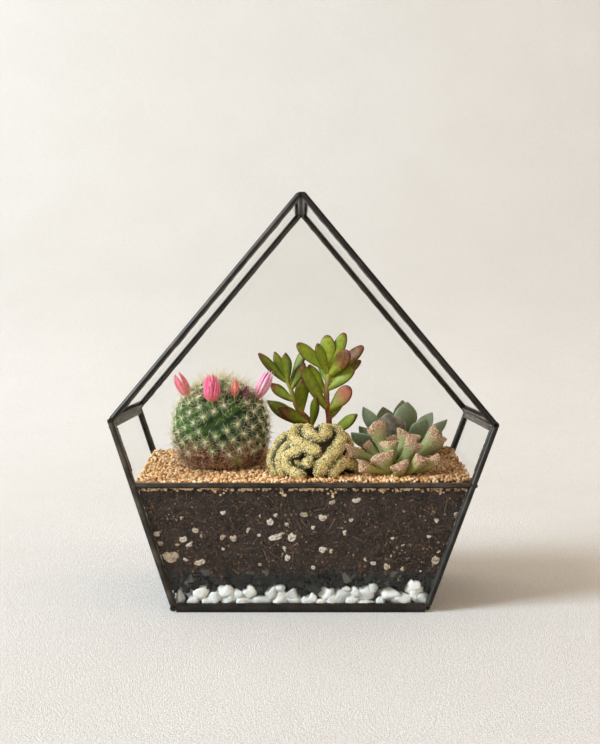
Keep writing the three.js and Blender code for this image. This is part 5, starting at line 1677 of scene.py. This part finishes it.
def rosetteFinish():
    f = Finish("echeveria_leaf")
    along, rim, tone, purple = f.mark("along"), f.mark("rim"), f.mark("tone"), f.mark("purple")
    dust = f.noise(2.2, detail=5, rough=0.65)
    streak = f.noise(0.9, detail=2, place=f.spot((900, 900, 220)))
    green = f.mix(tone, (98, 114, 84), (132, 146, 114))
    green = f.mix(dust.between(0.4, 0.7) * 0.45, green, (150, 160, 134))
    patch = f.noise(4, detail=4, rough=0.65)
    dusk = f.mix(patch.between(0.4, 0.6), (92, 80, 78), (144, 132, 118))
    green = f.mix((purple + 0.5 * (dust - 0.5)).between(0.1, 1.0) * 0.8, green, dusk)
    green = f.mix(along.between(0.4, 0.0) * 0.5, green, (66, 80, 56))
    green = f.mix(streak.between(0.5, 0.8) * 0.25, green, (88, 100, 86))
    margin = rim.between(0.78, 1.0) * along.between(0.25, 0.7)
    colour = f.mix(margin * 0.5, green, (168, 166, 142))
    colour = f.mix(along.between(0.95, 1.0) * 0.7, colour, (150, 112, 88))
    return f.shade(colour, 0.56, f.bump(dust, 0.15, 0.3), Specular_IOR_Level=0.4)


def echeveriaRosette():
    draw = np.random.default_rng(rosette["seed"])
    leaf = ringForm(12, ((0, .30, .7), (0.12, .42, .95), (0.3, .62, 1), (0.5, .86, 1), (0.66, 1, .9),
                         (0.78, .9, .75), (0.88, .6, .55), (0.95, .28, .35), (1.0, .03, .08)), smooth=1)
    heap = Heap()
    for tip, width, base, purple in rosette["leaves"]:
        base, tip = np.array(base, float), np.array(tip, float)
        away = unit((tip - rosette["heart"]) * (1, 1, 0.0) + (0, 0, 1e-3))
        along = unit(tip - base)
        inward = -away * along[2] + np.array((0, 0, 1)) * max(0.25, 1 - along[2])
        face = unit(inward + np.array((0, 1.1, 0)) * along[2] * (1 if inward[1] >= 0 else -1))
        points = alongRib(leaf.points, base, tip, face, width * rosette["wide"], rosette["thick"],
                          arch=-2.6, cup=1.6)
        heap.put(leaf, points, tone=draw.uniform(), purple=purple, **leaf.marks)
    bpy.ops.mesh.primitive_uv_sphere_add(segments=24, ring_count=14, radius=1, location=(0, 0, 0))
    middle = taken(bpy.context.object)
    heap.put(middle, middle.points * rosette["middleSize"] + rosette["middle"],
             tone=0.2, purple=0.2, along=0.2, rim=0.3)
    piece = heap.build("rosette_leaves", rosetteFinish(), "echeveria")
    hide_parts("echeveria")


echeveriaRosette()
print("echeveria built")

studio = {
    "floor": (230, 229, 226), "wall": (215, 214, 210), "wallHeight": 3.2, "sweep": 1.4,
    "floorSize": (9, 5.4), "floorCentre": (0, -0.9, -0.0002),
    "worldColour": (1.0, 0.81, 0.63, 1), "worldFront": 0.76, "worldRear": 0.81,
    "worldFrom": -0.75, "worldTo": 0.1,
    "keyPower": 368.0, "keySize": 2.0, "keyPlace": (-4.1, -1.8, 2.6), "keyAim": (0, 0, 0.12),
    "keyColour": (0.77, 0.89, 1.0),
    "lens": 50.0, "cameraPlace": (-0.0021, -0.7265, 0.184), "pitch": 2.34,
}


def backdropFinish():
    f = Finish("backdrop")
    plaster = f.noise(1.3, detail=5, rough=0.75)
    stain = f.noise(160, detail=4, rough=0.55)
    colour = f.mix(f.axis("Z").between(0, 300), studio["floor"], studio["wall"])
    colour = f.mix(stain.between(0.3, 0.7) * 0.06, colour, (150, 142, 130))
    colour = f.mix(plaster.between(0.4, 0.66) * 0.55, colour, (186, 178, 168))
    return f.shade(colour, 0.9, f.bump(plaster, 0.8, 1.3), Specular_IOR_Level=0.2)


def backdrop():
    # a seamless sweep: the floor's rear edge is drawn up into a wall
    bpy.ops.mesh.primitive_plane_add(size=1, location=(0, 0, 0))
    sweep = bpy.context.object
    sweep.name = "backdrop"
    bpy.ops.object.mode_set(mode="EDIT")
    bpy.ops.mesh.select_all(action="SELECT")
    bpy.ops.transform.resize(value=(*studio["floorSize"], 1))
    bpy.ops.transform.translate(value=studio["floorCentre"])
    bpy.ops.object.mode_set(mode="OBJECT")
    rear = max(v.co.y for v in sweep.data.vertices)
    for part in (sweep.data.vertices, sweep.data.edges, sweep.data.polygons):
        for item in part:
            item.select = False
    for vertex in sweep.data.vertices:
        vertex.select = vertex.co.y > rear - 0.01
    for edge in sweep.data.edges:
        edge.select = all(sweep.data.vertices[v].select for v in edge.vertices)
    bpy.ops.object.mode_set(mode="EDIT")
    bpy.ops.mesh.select_mode(type="EDGE")
    bpy.ops.mesh.extrude_region_move(TRANSFORM_OT_translate={"value": (0, 0, studio["wallHeight"])})
    bpy.ops.object.mode_set(mode="OBJECT")
    modify(sweep, "BEVEL", width=studio["sweep"], segments=24, limit_method="ANGLE", angle_limit=0.5)
    only(sweep)
    bpy.ops.object.shade_smooth()
    backdropFinish().over(sweep)


def keyLight():
    # one large cool light, from the left, in front and above
    bpy.ops.object.light_add(type="AREA", location=studio["keyPlace"])
    lamp = bpy.context.object
    lamp.name = "key"
    lamp.data.size = studio["keySize"]
    lamp.data.energy = studio["keyPower"]
    lamp.data.color = studio["keyColour"]
    aim = Vector(studio["keyAim"]) - Vector(studio["keyPlace"])
    lamp.rotation_euler = aim.to_track_quat("-Z", "Y").to_euler()


def worldLight():
    # soft light from all round, dimmer from where the viewer stands
    world = bpy.data.worlds.new("studio")
    bpy.context.scene.world = world
    world.use_nodes = True
    nodes, links = world.node_tree.nodes, world.node_tree.links
    background = nodes["Background"]
    background.inputs["Color"].default_value = studio["worldColour"]
    way = nodes.new("ShaderNodeTexCoord")
    apart = nodes.new("ShaderNodeSeparateXYZ")
    dim = nodes.new("ShaderNodeMapRange")
    dim.interpolation_type = "SMOOTHSTEP"
    for socket, key in zip(dim.inputs[1:5], ("worldFrom", "worldTo", "worldFront", "worldRear")):
        socket.default_value = studio[key]
    links.new(way.outputs["Generated"], apart.inputs[0])
    links.new(apart.outputs[1], dim.inputs[0])
    links.new(dim.outputs[0], background.inputs["Strength"])


def placeCamera():
    tilt = (math.radians(90 - studio["pitch"]), 0, 0)
    bpy.ops.object.camera_add(location=studio["cameraPlace"], rotation=tilt)
    camera = bpy.context.object
    camera.data.lens = studio["lens"]
    camera.data.sensor_width = 36
    camera.data.sensor_fit = "AUTO"
    bpy.context.scene.camera = camera


backdrop()
keyLight()
worldLight()
placeCamera()
bpy.context.scene.view_settings.view_transform = "Standard"
print("studio set")
